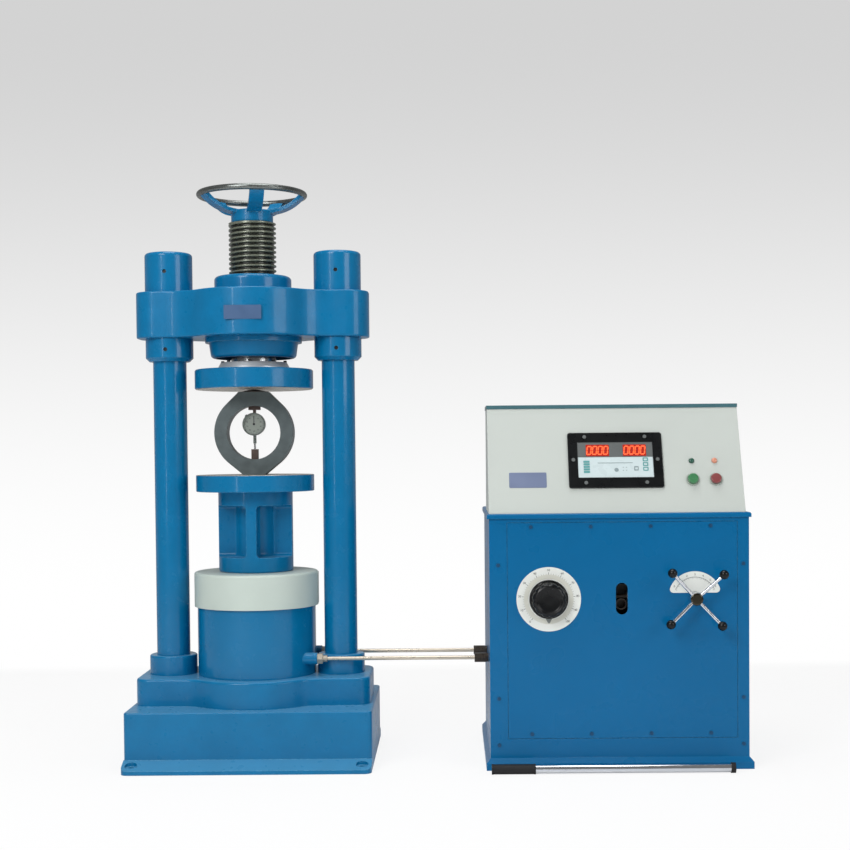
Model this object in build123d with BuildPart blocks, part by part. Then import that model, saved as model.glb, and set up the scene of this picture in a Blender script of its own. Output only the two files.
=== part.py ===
from build123d import *
from math import atan2, degrees
import os

os.makedirs("parts", exist_ok=True)

# Compression testing machine: a two-column hydraulic loading frame beside its pump and
# control cabinet. Millimetres. The origin is on the load axis at floor level, +Z is up,
# +X runs towards the cabinet and -Y faces the operator.

# Clearances
slip_gap = 0.05            # radial play of a shaft, ram or screw in its bore
rest_gap = 0.3             # space between two pieces that move past each other

# Base casting
base_depth = 416.0
base_height = 143.0
base_wall = 22.0
base_deck = 25.0
base_corner = 12.0
base_edge = 4.0
nut_room = 6.0             # between a foot nut and the pocket's wall
rib_thickness = 20.0
step_border = 18.5          # step beyond the foot nuts
step_depth = 234.0
step_height = 68.0
step_corner = 38.0
step_edge = 6.0
belly_border = 32.0         # step beyond the cylinder
belly_blend = 80.0
foot_reach = 45.0
foot_root = 28.0
foot_edge = 10.0
foot_corner = 18.0
anchor_inset = 23.0         # anchor hole from the foot's edges
anchor_hole = 14.0
anchor_seat = 15.0         # height of the flat turned round each anchor hole
anchor_washer = 30.0

# Columns and their nuts
column_diameter = 84.0
column_tail = 10.0
column_chamfer = 3.0
cap_gap = 15.5             # between the dust cap and a column
nut_diameter = 120.0
foot_nut_height = 49.0
base_nut_height = 60.0
collar_height = 58.0
top_nut_height = 101.0
top_nut_roof = 20.0
nut_edge = 9.0
grub_diameter = 10.0
grub_depth = 14.0

# Crosshead
head_gap = 29.0            # upper platen to the screw nut
crosshead_height = 116.0
crosshead_border = 20.0     # crosshead beyond the nuts
crosshead_depth = 136.0
crosshead_corner = 55.0
crosshead_boss = 165.0
crosshead_blend = 110.0
crosshead_edge = 4.0

# Screw nut and its lock ring
nut_flange_diameter = 245.0
nut_flange_height = 12.0
nut_body_top = 226.0
nut_body_bottom = 215.0
nut_body_height = 39.0
nut_body_edge = 10.0
nut_shank_diameter = 160.0
nut_recess_diameter = 192.0
nut_recess_depth = 34.0
lock_ring_diameter = 195.0
lock_ring_height = 40.0
lock_ring_roof = 10.0
lock_ring_edge = 10.0
lock_ring_play = 2.0       # round the load screw

# Load screw, handwheel and ball seat
screw_diameter = 120.0
screw_showing = 135.0       # thread seen above the lock ring
tenon_diameter = 60.0
tenon_length = 30.0
wheel_tenon_diameter = 40.0
wheel_tenon_sink = 2.0      # tenon's end below the hub's face
hub_diameter = 106.0
hub_height = 32.0
hub_edge = 4.0
rim_radius = 132.5
rim_tube = 7.5
rim_lift = 40.5            # rim's centre above the hub
spoke_count = 5
spoke_width = 36.0
spoke_thickness = 9.0
spoke_heel = 6.0           # level part of a spoke beyond the hub
spoke_heel_lift = 2.0
spoke_start_angle = -77.0
seat_neck_diameter = 114.0
seat_flange_diameter = 140.0
seat_flange_height = 5.0
seat_web = 4.7

# Platens
platen_edge = 3.0
upper_platen_height = 50.0
ball_radius = 70.0
ball_lift = 4.5            # space under the seat's flange that lets the platen tilt
keeper_diameter = 181.0
keeper_height = 18.0
keeper_bore = 150.0
keeper_lip_bore = 132.0
keeper_top_diameter = 168.0
keeper_wall = 6.0          # height of the straight wall below the bevel
keeper_bolt_count = 8
keeper_bolt_ring_diameter = 159.2
keeper_bolt_diameter = 4.0
keeper_bolt_length = 30.0
keeper_head_diameter = 8.5
keeper_head_height = 5.0
bolt_end_room = 2.0        # depth of a tapped hole beyond its screw
lower_platen_height = 42.0

# Cylinder, ram, dust cap and pedestal
cylinder_diameter = 300.0
cylinder_height = 197.0
cylinder_floor = 34.0
cylinder_wall = 40.0
cylinder_chamfer = 3.0
ram_height = 148.0
ram_showing = 58.0          # ram above the cylinder's mouth at rest
seal_width = 10.0
seal_depth = 7.0
seal_rise = 8.0
cap_play = 4.5             # between the cap and the cylinder
cap_wall = 3.0
cap_roof = 6.0
cap_skirt = 87.0
cap_edge = 6.0
pedestal_diameter = 189.0
pedestal_height = 204.0
pedestal_top_flange = 35.0
pedestal_foot_flange = 38.0
pedestal_rib = 26.0
pedestal_core = 96.0
pedestal_round = 10.0
pedestal_edge = 5.0

# Pressure and return pipes
pipe_diameter = 10.0
pipe_bore = 7.0
pipe_rise = 43.0           # pipe axis above the base step
pipe_offset = 70.0         # each side of the load axis
port_diameter = 30.0
port_boss = 10.0            # port boss beyond the cylinder's wall
fitting_length = 25.0
fitting_hex_length = 13.75
fitting_hex = 24.0
fitting_nose = 17.0
fitting_bore = 6.0
pipe_socket = 10.0
pipe_nut_hex = 22.0
pipe_nut_length = 30.0
connector_diameter = 22.0
connector_length = 28.0
connector_outside = 5.0

# Proving ring and its dial gauge
ring_radius = 100.0
ring_bore = 68.0
ring_width = 50.0
ring_foot = 107.0          # ring centre above the lower platen
ring_foot_width = 55.0
ring_head = 104.0
ring_head_width = 74.0
ring_land = 8.0            # thickness of the flats at head and foot
pad_diameter = 62.0
pad_height = 5.7
pad_dome = 100.0
bracket_width = 30.0
bracket_drop = 10.0
bracket_depth = 12.0
lug_width = 7.0
lug_sink = 2.0             # lug's end inside the bracket
anvil_width = 17.0
anvil_rise = 26.0
gauge_rise = 21.5          # gauge centre above the ring centre
gauge_case = 54.0
gauge_bezel = 58.0
gauge_bezel_depth = 10.0
gauge_front = -20.0
gauge_back = 12.0
gauge_face = -14.0
gauge_window = 52.0
gauge_glass = 1.5
gauge_rim = 1.0
gauge_stem_diameter = 8.0
gauge_stem_length = 22.0
gauge_crown_diameter = 7.0
gauge_crown_length = 6.0
spindle_diameter = 5.0
spindle_travel = 5.0
spindle_stop = 4.0
spindle_chamfer = 1.2
pointer_length = 21.0
pointer_width = 1.8
pointer_thickness = 0.8
pointer_hub = 6.0
pointer_shaft = 2.0

# Cabinet
cabinet_gap = 288.0        # between the base and the cabinet
cabinet_width = 627.0
cabinet_front = -217.0
cabinet_depth = 500.0
cabinet_height = 609.0
sheet = 3.0
cabinet_flare = 10.0
flare_foot_height = 17.0
flare_top_height = 29.0
post_left = 43.0
post_right = 28.0
plinth_height = 75.0
header_height = 9.0
panel_play = 0.8
return_width = 14.0
rear_margin = 50.0
vent_count = 6
vent_width = 150.0
vent_height = 5.0
vent_pitch = 16.0
vent_drop = 209.0          # middle of the vents below the cabinet's top
deck_thickness = 12.0
deck_overhang = 5.0
deck_edge = 5.0
console_width = 620.0
console_setback = 3.0
console_height = 256.0
console_lean = 24.0
console_top_depth = 160.0
console_sheet = 2.5
lid_thickness = 9.0
lid_overhang = 1.5
lid_corner = 2.0

# Display on the console's face, measured from the cabinet's left side and up the slope
bezel_width = 231.0
bezel_height = 147.0
bezel_thickness = 6.0
bezel_corner = 6.0
bezel_chamfer = 1.5
bezel_across = 312.0
bezel_rise = 138.0
window_width = 184.0
window_height = 94.0
screen_depth = 30.0
screen_recess = 1.5
screen_border = 6.0
bezel_screw_x = 74.0
bezel_screw_y = 61.0
bezel_screw_side = 103.0

# Push buttons and lamps
button_across = (498.0, 554.0)
button_rise = 85.8
button_diameter = 26.0
button_height = 7.0
button_edge = 2.5
button_travel = 4.0
button_stem = 12.0
button_stem_length = 20.0
collar_diameter = 32.0
lamp_rise = 135.6
lamp_diameter = 14.0
lamp_height = 6.0
lamp_edge = 5.0
lamp_stem = 8.0

# Controls on the front panel, measured from the cabinet's left side
controls_height = 414.0
dial_across = 143.0
dial_diameter = 156.0
plate_thickness = 1.5
knob_diameter = 94.0
knob_height = 36.0
knob_edge = 6.0
knob_groove_outer = 76.0
knob_groove_inner = 56.0
knob_groove_depth = 3.0
shaft_diameter = 12.0
shaft_room = 1.0           # round a spindle where it passes the panel
slot_across = 319.7
slot_width = 28.7
slot_height = 77.0
lever_rise = 2.5           # lever pin above the controls' common height
star_across = 496.0
fan_radius = 65.0
fan_bottom = 13.0
fan_corner = 9.0
star_hub_diameter = 32.0
star_hub_height = 34.0
star_hub_edge = 5.0
star_arm_diameter = 8.5
star_arm_length = 87.0
star_arm_angle = 43.0
star_ball_diameter = 23.0
star_ball_rise = 40.0
star_root_rise = 25.0

# Valve block, lever socket and hand pump lever
block_width = 440.0
block_height = 60.0
block_depth = 46.0
block_setback = 67.0        # block behind the cabinet's front
block_foot_diameter = 20.0
lever_pin_diameter = 6.0
lever_setback = 27.0
lever_eye_diameter = 12.0
lever_eye_width = 30.0
lever_ear = 8.0
lever_ear_height = 18.0
socket_drop = 17.0
socket_bore = 21.5
socket_wall = 3.0
socket_length = 36.0
socket_setback = 15.0
rod_diameter = 21.0
rod_length = 577.0
rod_wall = 2.5
grip_diameter = 25.0
grip_body_diameter = 24.0
grip_length = 105.0
grip_flange = 4.0
grip_end = 5.0
handle_shift = 1.0
handle_clear = 51.0         # handle's axis before the cabinet's front
stop_length = 11.0

# Power pack inside the cabinet
tank_length = 380.0
tank_depth = 300.0
tank_height = 190.0
tank_across = 49.0
tank_front = -60.0
tank_wall = 3.0
filler_diameter = 46.0
motor_diameter = 140.0
motor_length = 220.0
motor_gap = 20.0
motor_bell = 24.0
motor_bell_lip = 4.0
motor_foot_width = 120.0
motor_box_length = 84.0
motor_box_width = 60.0
motor_box_rise = 30.0
pack_axis_y = 130.0
pack_axis_rise = 92.0
pump_diameter = 110.0
pump_length = 80.0
pump_foot_width = 77.0
coupling_gap = 34.0
coupling_diameter = 56.0
coupling_air = 4.0
drive_shaft = 20.0
drive_reach = 24.0
drive_room = 4.0

hose_diameter = 12.0
hose_block_across = 131.0
hose_spread = 40.0
hose_tank_across = 115.0
hose_tank_inset = 66.0

# Small screws and the mains inlet
screw_head = 9.0
screw_head_height = 2.0
panel_screw_count = 4
panel_screw_pitch = 144.5
panel_screw_shift = -3.25
panel_screw_foot = 12.0
panel_screw_head = 11.0
post_screw_foot = 60.0
post_screw_low = 173.0
post_screw_drop = 112.0
gland_hex = 24.0
gland_length = 22.0
gland_bore = 9.0
gland_wall = 2.0
gland_rise = 140.0
gland_inset = 68.0          # gland from the cabinet's right side

# Places that follow from the sizes above
ram_diameter = cylinder_diameter - 2 * cylinder_wall
cap_diameter = cylinder_diameter + 2 * (cap_play + cap_wall)
platen_diameter = cylinder_diameter
column_spacing = cap_diameter + column_diameter + 2 * cap_gap
column_radius = column_diameter / 2
column_bore = column_radius + slip_gap
column_x = column_spacing / 2
nut_span = column_spacing + nut_diameter
base_width = nut_span + 2 * (nut_room + base_wall)
step_width = nut_span + 2 * step_border
crosshead_length = nut_span + 2 * crosshead_border
belly_radius = cylinder_diameter / 2 + belly_border
anchor_spacing_x = base_width - 2 * anchor_inset
anchor_spacing_y = base_depth + 2 * (foot_reach - anchor_inset)
deck_under = base_height - base_deck
step_top = base_height + step_height
cylinder_top = step_top + cylinder_height
bore_bottom = step_top + cylinder_floor
ram_top = cylinder_top + ram_showing
cap_top = ram_top + cap_roof
lower_platen_bottom = cap_top + pedestal_height
lower_platen_top = lower_platen_bottom + lower_platen_height
ring_z = lower_platen_top + ring_foot
ring_top = ring_z + ring_head
pad_top = ring_top + pad_height
gauge_z = ring_z + gauge_rise
upper_platen_bottom = pad_top + rest_gap
upper_platen_top = upper_platen_bottom + upper_platen_height
nut_body_foot = upper_platen_top + head_gap
crosshead_bottom = nut_body_foot + nut_body_height + nut_flange_height
crosshead_top = crosshead_bottom + crosshead_height
column_bottom = deck_under - base_nut_height - column_tail
column_top = crosshead_top + top_nut_height - top_nut_roof
nut_recess_top = nut_body_foot + nut_recess_depth
lock_ring_top = crosshead_top + lock_ring_height
screw_radius = screw_diameter / 2
screw_top = lock_ring_top + screw_showing
rim_height = screw_top + hub_height + rim_lift
seat_foot = upper_platen_top + ball_lift
socket_radius = ball_radius + rest_gap
tenon_bottom = upper_platen_bottom + socket_radius + seat_web
seat_top = tenon_bottom + tenon_length
keeper_top = upper_platen_top + keeper_height
keeper_lip = seat_foot + seat_flange_height + ball_lift
pipe_z = step_top + pipe_rise
port_reach = cylinder_diameter / 2 + port_boss
fitting_end = port_reach + fitting_length
cabinet_left = base_width / 2 + cabinet_gap
cabinet_right = cabinet_left + cabinet_width
cabinet_x = (cabinet_left + cabinet_right) / 2
cabinet_back = cabinet_front + cabinet_depth
cabinet_y = (cabinet_front + cabinet_back) / 2
deck_top = cabinet_height + deck_thickness
panel_back = cabinet_front + sheet
lever_z = controls_height + lever_rise
lever_pin_y = cabinet_front + lever_setback
socket_mouth = cabinet_front + socket_setback
block_front = cabinet_front + block_setback
block_back = block_front + block_depth
dial_x = cabinet_left + dial_across
slot_x = cabinet_left + slot_across
star_x = cabinet_left + star_across
bezel_x = cabinet_left + bezel_across
button_x = [cabinet_left + across for across in button_across]
tank_left = cabinet_left + tank_across
handle_left = cabinet_left + handle_shift
handle_y = cabinet_front - handle_clear
gland_x = cabinet_right - gland_inset


def ring_solid(plane, outer, inner, height):
    """A plain ring: two circles on a plane, drawn up to the given height."""
    with BuildPart() as piece:
        with BuildSketch(plane):
            Circle(outer)
            Circle(inner, mode=Mode.SUBTRACT)
        extrude(amount=height)
    return piece.part


def save(piece, name):
    """Label a finished sub-part and write it as its own STEP file."""
    piece.part.label = name
    export_step(piece.part, f"parts/{name}.step")


# Base: a casting hollow from below, with sloped anchor feet and a step that bellies round
# the cylinder
with BuildPart() as base:
    with BuildSketch():
        RectangleRounded(base_width, base_depth, base_corner)
    extrude(amount=base_height)
    fillet(base.faces().sort_by(Axis.Z)[-1].edges(), base_edge)
    for side in (-1, 1):
        with BuildSketch(Plane.YZ.offset(-base_width / 2)):
            with BuildLine():
                Polyline(
                    (side * (base_depth / 2 - base_corner), 0),
                    (side * (base_depth / 2 + foot_reach), 0),
                    (side * (base_depth / 2 + foot_reach), foot_edge),
                    (side * base_depth / 2, foot_root),
                    (side * (base_depth / 2 - base_corner), foot_root),
                    close=True,
                )
            make_face()
        extrude(amount=base_width)
    outer_corners = base.edges().filter_by(Axis.Z).filter_by(
        lambda e: abs(abs(e.center().Y) - base_depth / 2 - foot_reach) < 0.01
    )
    fillet(outer_corners, foot_corner)
    with BuildSketch(Plane.XY.offset(base_height)) as step_outline:
        RectangleRounded(step_width, step_depth, step_corner)
        Circle(belly_radius)
        waist = step_outline.vertices().filter_by(
            lambda v: abs(abs(v.Y) - step_depth / 2) < 0.01 and abs(v.X) < belly_radius
        )
        fillet(waist, belly_blend)
    extrude(amount=step_height)
    fillet(base.faces().sort_by(Axis.Z)[-1].edges(), step_edge)
    pocket_depth = base_depth - 2 * base_wall
    side_pocket = nut_diameter + 2 * nut_room
    middle_pocket = base_width - 2 * (base_wall + side_pocket + rib_thickness)
    with BuildSketch():
        Rectangle(middle_pocket, pocket_depth)
        for side in (-1, 1):
            with Locations((side * (base_width / 2 - base_wall - side_pocket / 2), 0)):
                Rectangle(side_pocket, pocket_depth)
    extrude(amount=deck_under, mode=Mode.SUBTRACT)
    with BuildSketch():
        with GridLocations(column_spacing, 0, 2, 1):
            Circle(column_bore)
    extrude(amount=step_top, mode=Mode.SUBTRACT)
    with BuildSketch():
        with GridLocations(anchor_spacing_x, anchor_spacing_y, 2, 2):
            Circle(anchor_hole / 2)
    extrude(amount=foot_root, mode=Mode.SUBTRACT)
    with BuildSketch(Plane.XY.offset(anchor_seat)):
        with GridLocations(anchor_spacing_x, anchor_spacing_y, 2, 2):
            Circle(anchor_washer / 2)
        Rectangle(base_width, base_depth, mode=Mode.SUBTRACT)
    extrude(amount=foot_root, mode=Mode.SUBTRACT)
save(base, "base")

# Columns, left and right
for name, side in (("column_left", -1), ("column_right", 1)):
    with BuildPart() as column:
        with BuildSketch(Plane.XY.offset(column_bottom)):
            with Locations((side * column_x, 0)):
                Circle(column_radius)
        extrude(amount=column_top - column_bottom)
        ends = column.faces().filter_by(Axis.Z).edges()
        chamfer(ends, column_chamfer)
    save(column, name)

# Round nuts that clamp the base: one above and one below its deck on each column
with BuildPart() as foot_nuts:
    for bottom, height in ((step_top, foot_nut_height),
                           (deck_under - base_nut_height, base_nut_height)):
        with BuildSketch(Plane.XY.offset(bottom)):
            with GridLocations(column_spacing, 0, 2, 1):
                Circle(nut_diameter / 2)
                Circle(column_bore, mode=Mode.SUBTRACT)
        extrude(amount=height)
    upper_rims = foot_nuts.edges().filter_by(GeomType.CIRCLE).filter_by(
        lambda e: abs(e.center().Z - step_top - foot_nut_height) < 0.01
        and abs(e.radius - nut_diameter / 2) < 0.01
    )
    fillet(upper_rims, nut_edge / 2)
save(foot_nuts, "foot_nuts")

# Crosshead: round ends on the columns, a round boss on the load axis and hollow blends
with BuildPart() as crosshead:
    with BuildSketch(Plane.XY.offset(crosshead_bottom)) as beam_outline:
        RectangleRounded(crosshead_length, crosshead_depth, crosshead_corner)
        Circle(crosshead_boss)
        waist = beam_outline.vertices().filter_by(
            lambda v: abs(abs(v.Y) - crosshead_depth / 2) < 0.01
            and abs(v.X) < crosshead_boss
        )
        fillet(waist, crosshead_blend)
    extrude(amount=crosshead_height)
    fillet(crosshead.faces().filter_by(Axis.Z).edges(), crosshead_edge)
    with BuildSketch(Plane.XY.offset(crosshead_bottom)):
        Circle(nut_shank_diameter / 2 + slip_gap)
        with GridLocations(column_spacing, 0, 2, 1):
            Circle(column_bore)
    extrude(amount=crosshead_height, mode=Mode.SUBTRACT)
save(crosshead, "crosshead")

# Column nuts at the crosshead: open collars below, closed cap nuts above, each drilled at
# the front for its grub screw
with BuildPart() as crosshead_nuts:
    for bottom, height in ((crosshead_bottom - collar_height, collar_height),
                           (crosshead_top, top_nut_height)):
        with BuildSketch(Plane.XY.offset(bottom)):
            with GridLocations(column_spacing, 0, 2, 1):
                Circle(nut_diameter / 2)
        extrude(amount=height)
    free_rims = crosshead_nuts.edges().filter_by(GeomType.CIRCLE).filter_by(
        lambda e: e.center().Z > crosshead_top + 1 or e.center().Z < crosshead_bottom - 1
    )
    fillet(free_rims.filter_by(lambda e: e.center().Z > crosshead_top), nut_edge)
    chamfer(free_rims.filter_by(lambda e: e.center().Z < crosshead_bottom), nut_edge)
    with BuildSketch(Plane.XY.offset(crosshead_bottom - collar_height)):
        with GridLocations(column_spacing, 0, 2, 1):
            Circle(column_bore)
    extrude(amount=column_top - crosshead_bottom + collar_height, mode=Mode.SUBTRACT)
    for height in (crosshead_bottom - collar_height / 2, crosshead_top + top_nut_height / 2):
        with BuildSketch(Plane.XZ.offset(nut_diameter / 2)):
            with Locations((-column_x, height), (column_x, height)):
                Circle(grub_diameter / 2)
        extrude(amount=-(nut_diameter / 2 - column_bore + 1), mode=Mode.SUBTRACT)
save(crosshead_nuts, "crosshead_nuts")

# Grub screws, sunk a little way into the nuts
with BuildPart() as set_screws:
    for height in (crosshead_bottom - collar_height / 2, crosshead_top + top_nut_height / 2):
        with BuildSketch(Plane.XZ.offset(column_bore)):
            with Locations((-column_x, height), (column_x, height)):
                Circle(grub_diameter / 2 - slip_gap)
        extrude(amount=grub_depth)
save(set_screws, "set_screws")

# Screw nut: flanged from below, its shank rising through the crosshead
with BuildPart() as screw_nut:
    with BuildSketch(Plane.XZ):
        with BuildLine():
            Polyline(
                (screw_radius + slip_gap, nut_recess_top),
                (nut_recess_diameter / 2, nut_recess_top),
                (nut_recess_diameter / 2, nut_body_foot),
                (nut_body_bottom / 2, nut_body_foot),
                (nut_body_top / 2, nut_body_foot + nut_body_height),
                (nut_flange_diameter / 2, nut_body_foot + nut_body_height),
                (nut_flange_diameter / 2, crosshead_bottom),
                (nut_shank_diameter / 2, crosshead_bottom),
                (nut_shank_diameter / 2, lock_ring_top - lock_ring_roof),
                (screw_radius + slip_gap, lock_ring_top - lock_ring_roof),
                close=True,
            )
        make_face()
    revolve(axis=Axis.Z)
    foot_rim = screw_nut.edges().filter_by(GeomType.CIRCLE).filter_by(
        lambda e: abs(e.radius - nut_body_bottom / 2) < 0.01
    )
    fillet(foot_rim, min(nut_body_edge, (nut_body_bottom - nut_recess_diameter) / 2 - 1))
save(screw_nut, "screw_nut")

# Lock ring on the nut's shank
with BuildPart() as nut_lock_ring:
    with BuildSketch(Plane.XY.offset(crosshead_top)):
        Circle(lock_ring_diameter / 2)
    extrude(amount=lock_ring_height)
    fillet(nut_lock_ring.faces().sort_by(Axis.Z)[-1].edges(), lock_ring_edge)
    with BuildSketch(Plane.XY.offset(crosshead_top)):
        Circle(nut_shank_diameter / 2 + slip_gap)
    extrude(amount=lock_ring_height - lock_ring_roof, mode=Mode.SUBTRACT)
    with BuildSketch(Plane.XY.offset(crosshead_top)):
        Circle(screw_radius + lock_ring_play)
    extrude(amount=lock_ring_height, mode=Mode.SUBTRACT)
save(nut_lock_ring, "nut_lock_ring")

# Load screw: thread envelope with a tenon at each end
with BuildPart() as screw_spindle:
    with BuildSketch(Plane.XY.offset(tenon_bottom + rest_gap)):
        Circle(tenon_diameter / 2)
    extrude(amount=tenon_length)
    with BuildSketch(Plane.XY.offset(seat_top + rest_gap)):
        Circle(screw_radius)
    extrude(amount=screw_top - seat_top - rest_gap)
    with BuildSketch(Plane.XY.offset(screw_top)):
        Circle(wheel_tenon_diameter / 2)
    extrude(amount=hub_height - wheel_tenon_sink)
save(screw_spindle, "screw_spindle")

# One dished flat spoke of the handwheel
spoke_root = screw_top + hub_height - spoke_thickness / 2
with BuildPart() as spoke:
    with BuildSketch(Plane.XZ):
        with BuildLine():
            Spline(
                (hub_diameter / 4, spoke_root),
                (hub_diameter / 2 + spoke_heel, spoke_root + spoke_heel_lift),
                (rim_radius, rim_height),
                tangents=((1, 0), (0.75, 1)),
            )
        trace(line_width=spoke_thickness)
    extrude(amount=spoke_width / 2, both=True)

# Handwheel: hub and spokes, coped to the round rim
with BuildPart() as handwheel:
    with BuildSketch(Plane.XY.offset(screw_top)):
        Circle(hub_diameter / 2)
    extrude(amount=hub_height)
    fillet(handwheel.faces().filter_by(Axis.Z).edges(), hub_edge)
    with PolarLocations(0, spoke_count, start_angle=spoke_start_angle):
        add(spoke.part)
    with Locations((0, 0, rim_height)):
        Torus(rim_radius, rim_tube + slip_gap, mode=Mode.SUBTRACT)
    with BuildSketch(Plane.XY.offset(screw_top)):
        Circle(wheel_tenon_diameter / 2 + slip_gap)
    extrude(amount=hub_height + spoke_thickness, mode=Mode.SUBTRACT)
save(handwheel, "handwheel")

# Round rim of the handwheel
with BuildPart() as handwheel_rim:
    with Locations((0, 0, rim_height)):
        Torus(rim_radius, rim_tube)
save(handwheel_rim, "handwheel_rim")

# Ball seat: the screw turns in its bore, and its hollow face sits over the platen's ball
with BuildPart() as ball_seat:
    with BuildSketch(Plane.XY.offset(seat_foot)):
        Circle(seat_flange_diameter / 2)
    extrude(amount=seat_flange_height)
    with BuildSketch(Plane.XY.offset(seat_foot)):
        Circle(seat_neck_diameter / 2)
    extrude(amount=seat_top - seat_foot)
    with BuildSketch(Plane.XY.offset(tenon_bottom)):
        Circle(tenon_diameter / 2 + slip_gap)
    extrude(amount=tenon_length, mode=Mode.SUBTRACT)
    with Locations((0, 0, upper_platen_bottom)):
        Sphere(socket_radius, mode=Mode.SUBTRACT)
save(ball_seat, "ball_seat")

# Upper platen with its ball, centred on the loading face
keeper_bolts = PolarLocations(keeper_bolt_ring_diameter / 2, keeper_bolt_count)
with BuildPart() as upper_platen:
    ball_foot = (ball_radius**2 - upper_platen_height**2) ** 0.5
    with BuildSketch(Plane.XZ):
        with BuildLine():
            Polyline(
                (0, upper_platen_bottom + ball_radius),
                (0, upper_platen_bottom),
                (platen_diameter / 2 - platen_edge, upper_platen_bottom),
                (platen_diameter / 2, upper_platen_bottom + platen_edge),
                (platen_diameter / 2, upper_platen_top - platen_edge),
                (platen_diameter / 2 - platen_edge, upper_platen_top),
                (ball_foot, upper_platen_top),
            )
            RadiusArc(
                (ball_foot, upper_platen_top),
                (0, upper_platen_bottom + ball_radius),
                -ball_radius,
            )
        make_face()
    revolve(axis=Axis.Z)
    with BuildSketch(Plane.XY.offset(upper_platen_top)):
        with keeper_bolts:
            Circle(keeper_bolt_diameter / 2 + slip_gap)
    extrude(amount=-(keeper_bolt_length - keeper_height + bolt_end_room), mode=Mode.SUBTRACT)
save(upper_platen, "upper_platen")

# Keeper ring that holds the platen up on the ball seat's flange
with BuildPart() as seat_ring:
    with BuildSketch(Plane.XZ):
        with BuildLine():
            Polyline(
                (keeper_bore / 2, upper_platen_top),
                (keeper_diameter / 2, upper_platen_top),
                (keeper_diameter / 2, upper_platen_top + keeper_wall),
                (keeper_top_diameter / 2, keeper_top),
                (keeper_lip_bore / 2, keeper_top),
                (keeper_lip_bore / 2, keeper_lip),
                (keeper_bore / 2, keeper_lip),
                close=True,
            )
        make_face()
    revolve(axis=Axis.Z)
    with BuildSketch(Plane.XY.offset(upper_platen_top)):
        with keeper_bolts:
            Circle(keeper_bolt_diameter / 2 + slip_gap)
    extrude(amount=keeper_height, mode=Mode.SUBTRACT)
save(seat_ring, "seat_ring")

# Screws of the keeper ring
with BuildPart() as seat_bolts:
    with BuildSketch(Plane.XY.offset(keeper_top)):
        with keeper_bolts:
            Circle(keeper_head_diameter / 2)
    extrude(amount=keeper_head_height)
    with BuildSketch(Plane.XY.offset(keeper_top)):
        with keeper_bolts:
            Circle(keeper_bolt_diameter / 2)
    extrude(amount=-keeper_bolt_length)
save(seat_bolts, "seat_bolts")

# Cylinder: a deep cup with two drilled port bosses facing the cabinet
ports = [(side * pipe_offset, pipe_z) for side in (-1, 1)]
with BuildPart() as cylinder:
    with BuildSketch(Plane.XY.offset(step_top)):
        Circle(cylinder_diameter / 2)
    extrude(amount=cylinder_height)
    chamfer(cylinder.faces().sort_by(Axis.Z)[-1].edges(), cylinder_chamfer)
    with BuildSketch(Plane.YZ.offset(ram_diameter / 2)):
        with Locations(*ports):
            Circle(port_diameter / 2)
    extrude(amount=port_reach - ram_diameter / 2)
    with BuildSketch(Plane.XY.offset(bore_bottom)):
        Circle(ram_diameter / 2)
    extrude(amount=cylinder_height, mode=Mode.SUBTRACT)
    with BuildSketch(Plane.YZ):
        with Locations(*ports):
            Circle(fitting_bore / 2)
    extrude(amount=port_reach, mode=Mode.SUBTRACT)
save(cylinder, "cylinder")

# Ram with a seal groove near its lower end
ram_bottom = ram_top - ram_height
seal_bottom = ram_bottom + seal_rise
with BuildPart() as ram:
    with BuildSketch(Plane.XY.offset(ram_bottom)):
        Circle(ram_diameter / 2 - slip_gap)
    extrude(amount=ram_height)
    with BuildSketch(Plane.XY.offset(seal_bottom)):
        Circle(ram_diameter / 2)
        Circle(ram_diameter / 2 - seal_depth, mode=Mode.SUBTRACT)
    extrude(amount=seal_width, mode=Mode.SUBTRACT)
save(ram, "ram")

# Ram seal in its groove
with BuildPart() as ram_seal:
    add(ring_solid(
        Plane.XY.offset(seal_bottom), ram_diameter / 2 - slip_gap,
        ram_diameter / 2 - seal_depth, seal_width,
    ))
save(ram_seal, "ram_seal")

# Dust cap: an inverted tray over the cylinder's mouth
with BuildPart() as dust_cap:
    with BuildSketch(Plane.XY.offset(cap_top - cap_skirt)):
        Circle(cap_diameter / 2)
    extrude(amount=cap_skirt)
    fillet(dust_cap.faces().sort_by(Axis.Z)[-1].edges(), cap_edge)
    with BuildSketch(Plane.XY.offset(cap_top - cap_skirt)):
        Circle(cap_diameter / 2 - cap_wall)
    extrude(amount=cap_skirt - cap_roof, mode=Mode.SUBTRACT)
save(dust_cap, "dust_cap")

# One rounded hollow between two ribs of the pedestal
with BuildPart() as pedestal_hollow:
    with BuildSketch(Plane.XY.offset(cap_top + pedestal_foot_flange)):
        with Locations((pedestal_rib / 2, pedestal_rib / 2)):
            Rectangle(pedestal_diameter, pedestal_diameter, align=(Align.MIN, Align.MIN))
        Circle(pedestal_core / 2, mode=Mode.SUBTRACT)
    extrude(amount=pedestal_height - pedestal_foot_flange - pedestal_top_flange)
    inner_edges = pedestal_hollow.edges().filter_by(
        lambda e: e.center().X < pedestal_diameter and e.center().Y < pedestal_diameter
    )
    fillet(inner_edges, pedestal_round)

# Pedestal: round flanges joined by a core and four ribs
with BuildPart() as pedestal:
    with BuildSketch(Plane.XY.offset(cap_top)):
        Circle(pedestal_diameter / 2)
    extrude(amount=pedestal_height)
    fillet(pedestal.faces().sort_by(Axis.Z)[0].edges(), pedestal_edge)
    with PolarLocations(0, 4):
        add(pedestal_hollow.part, mode=Mode.SUBTRACT)
save(pedestal, "pedestal")

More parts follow.
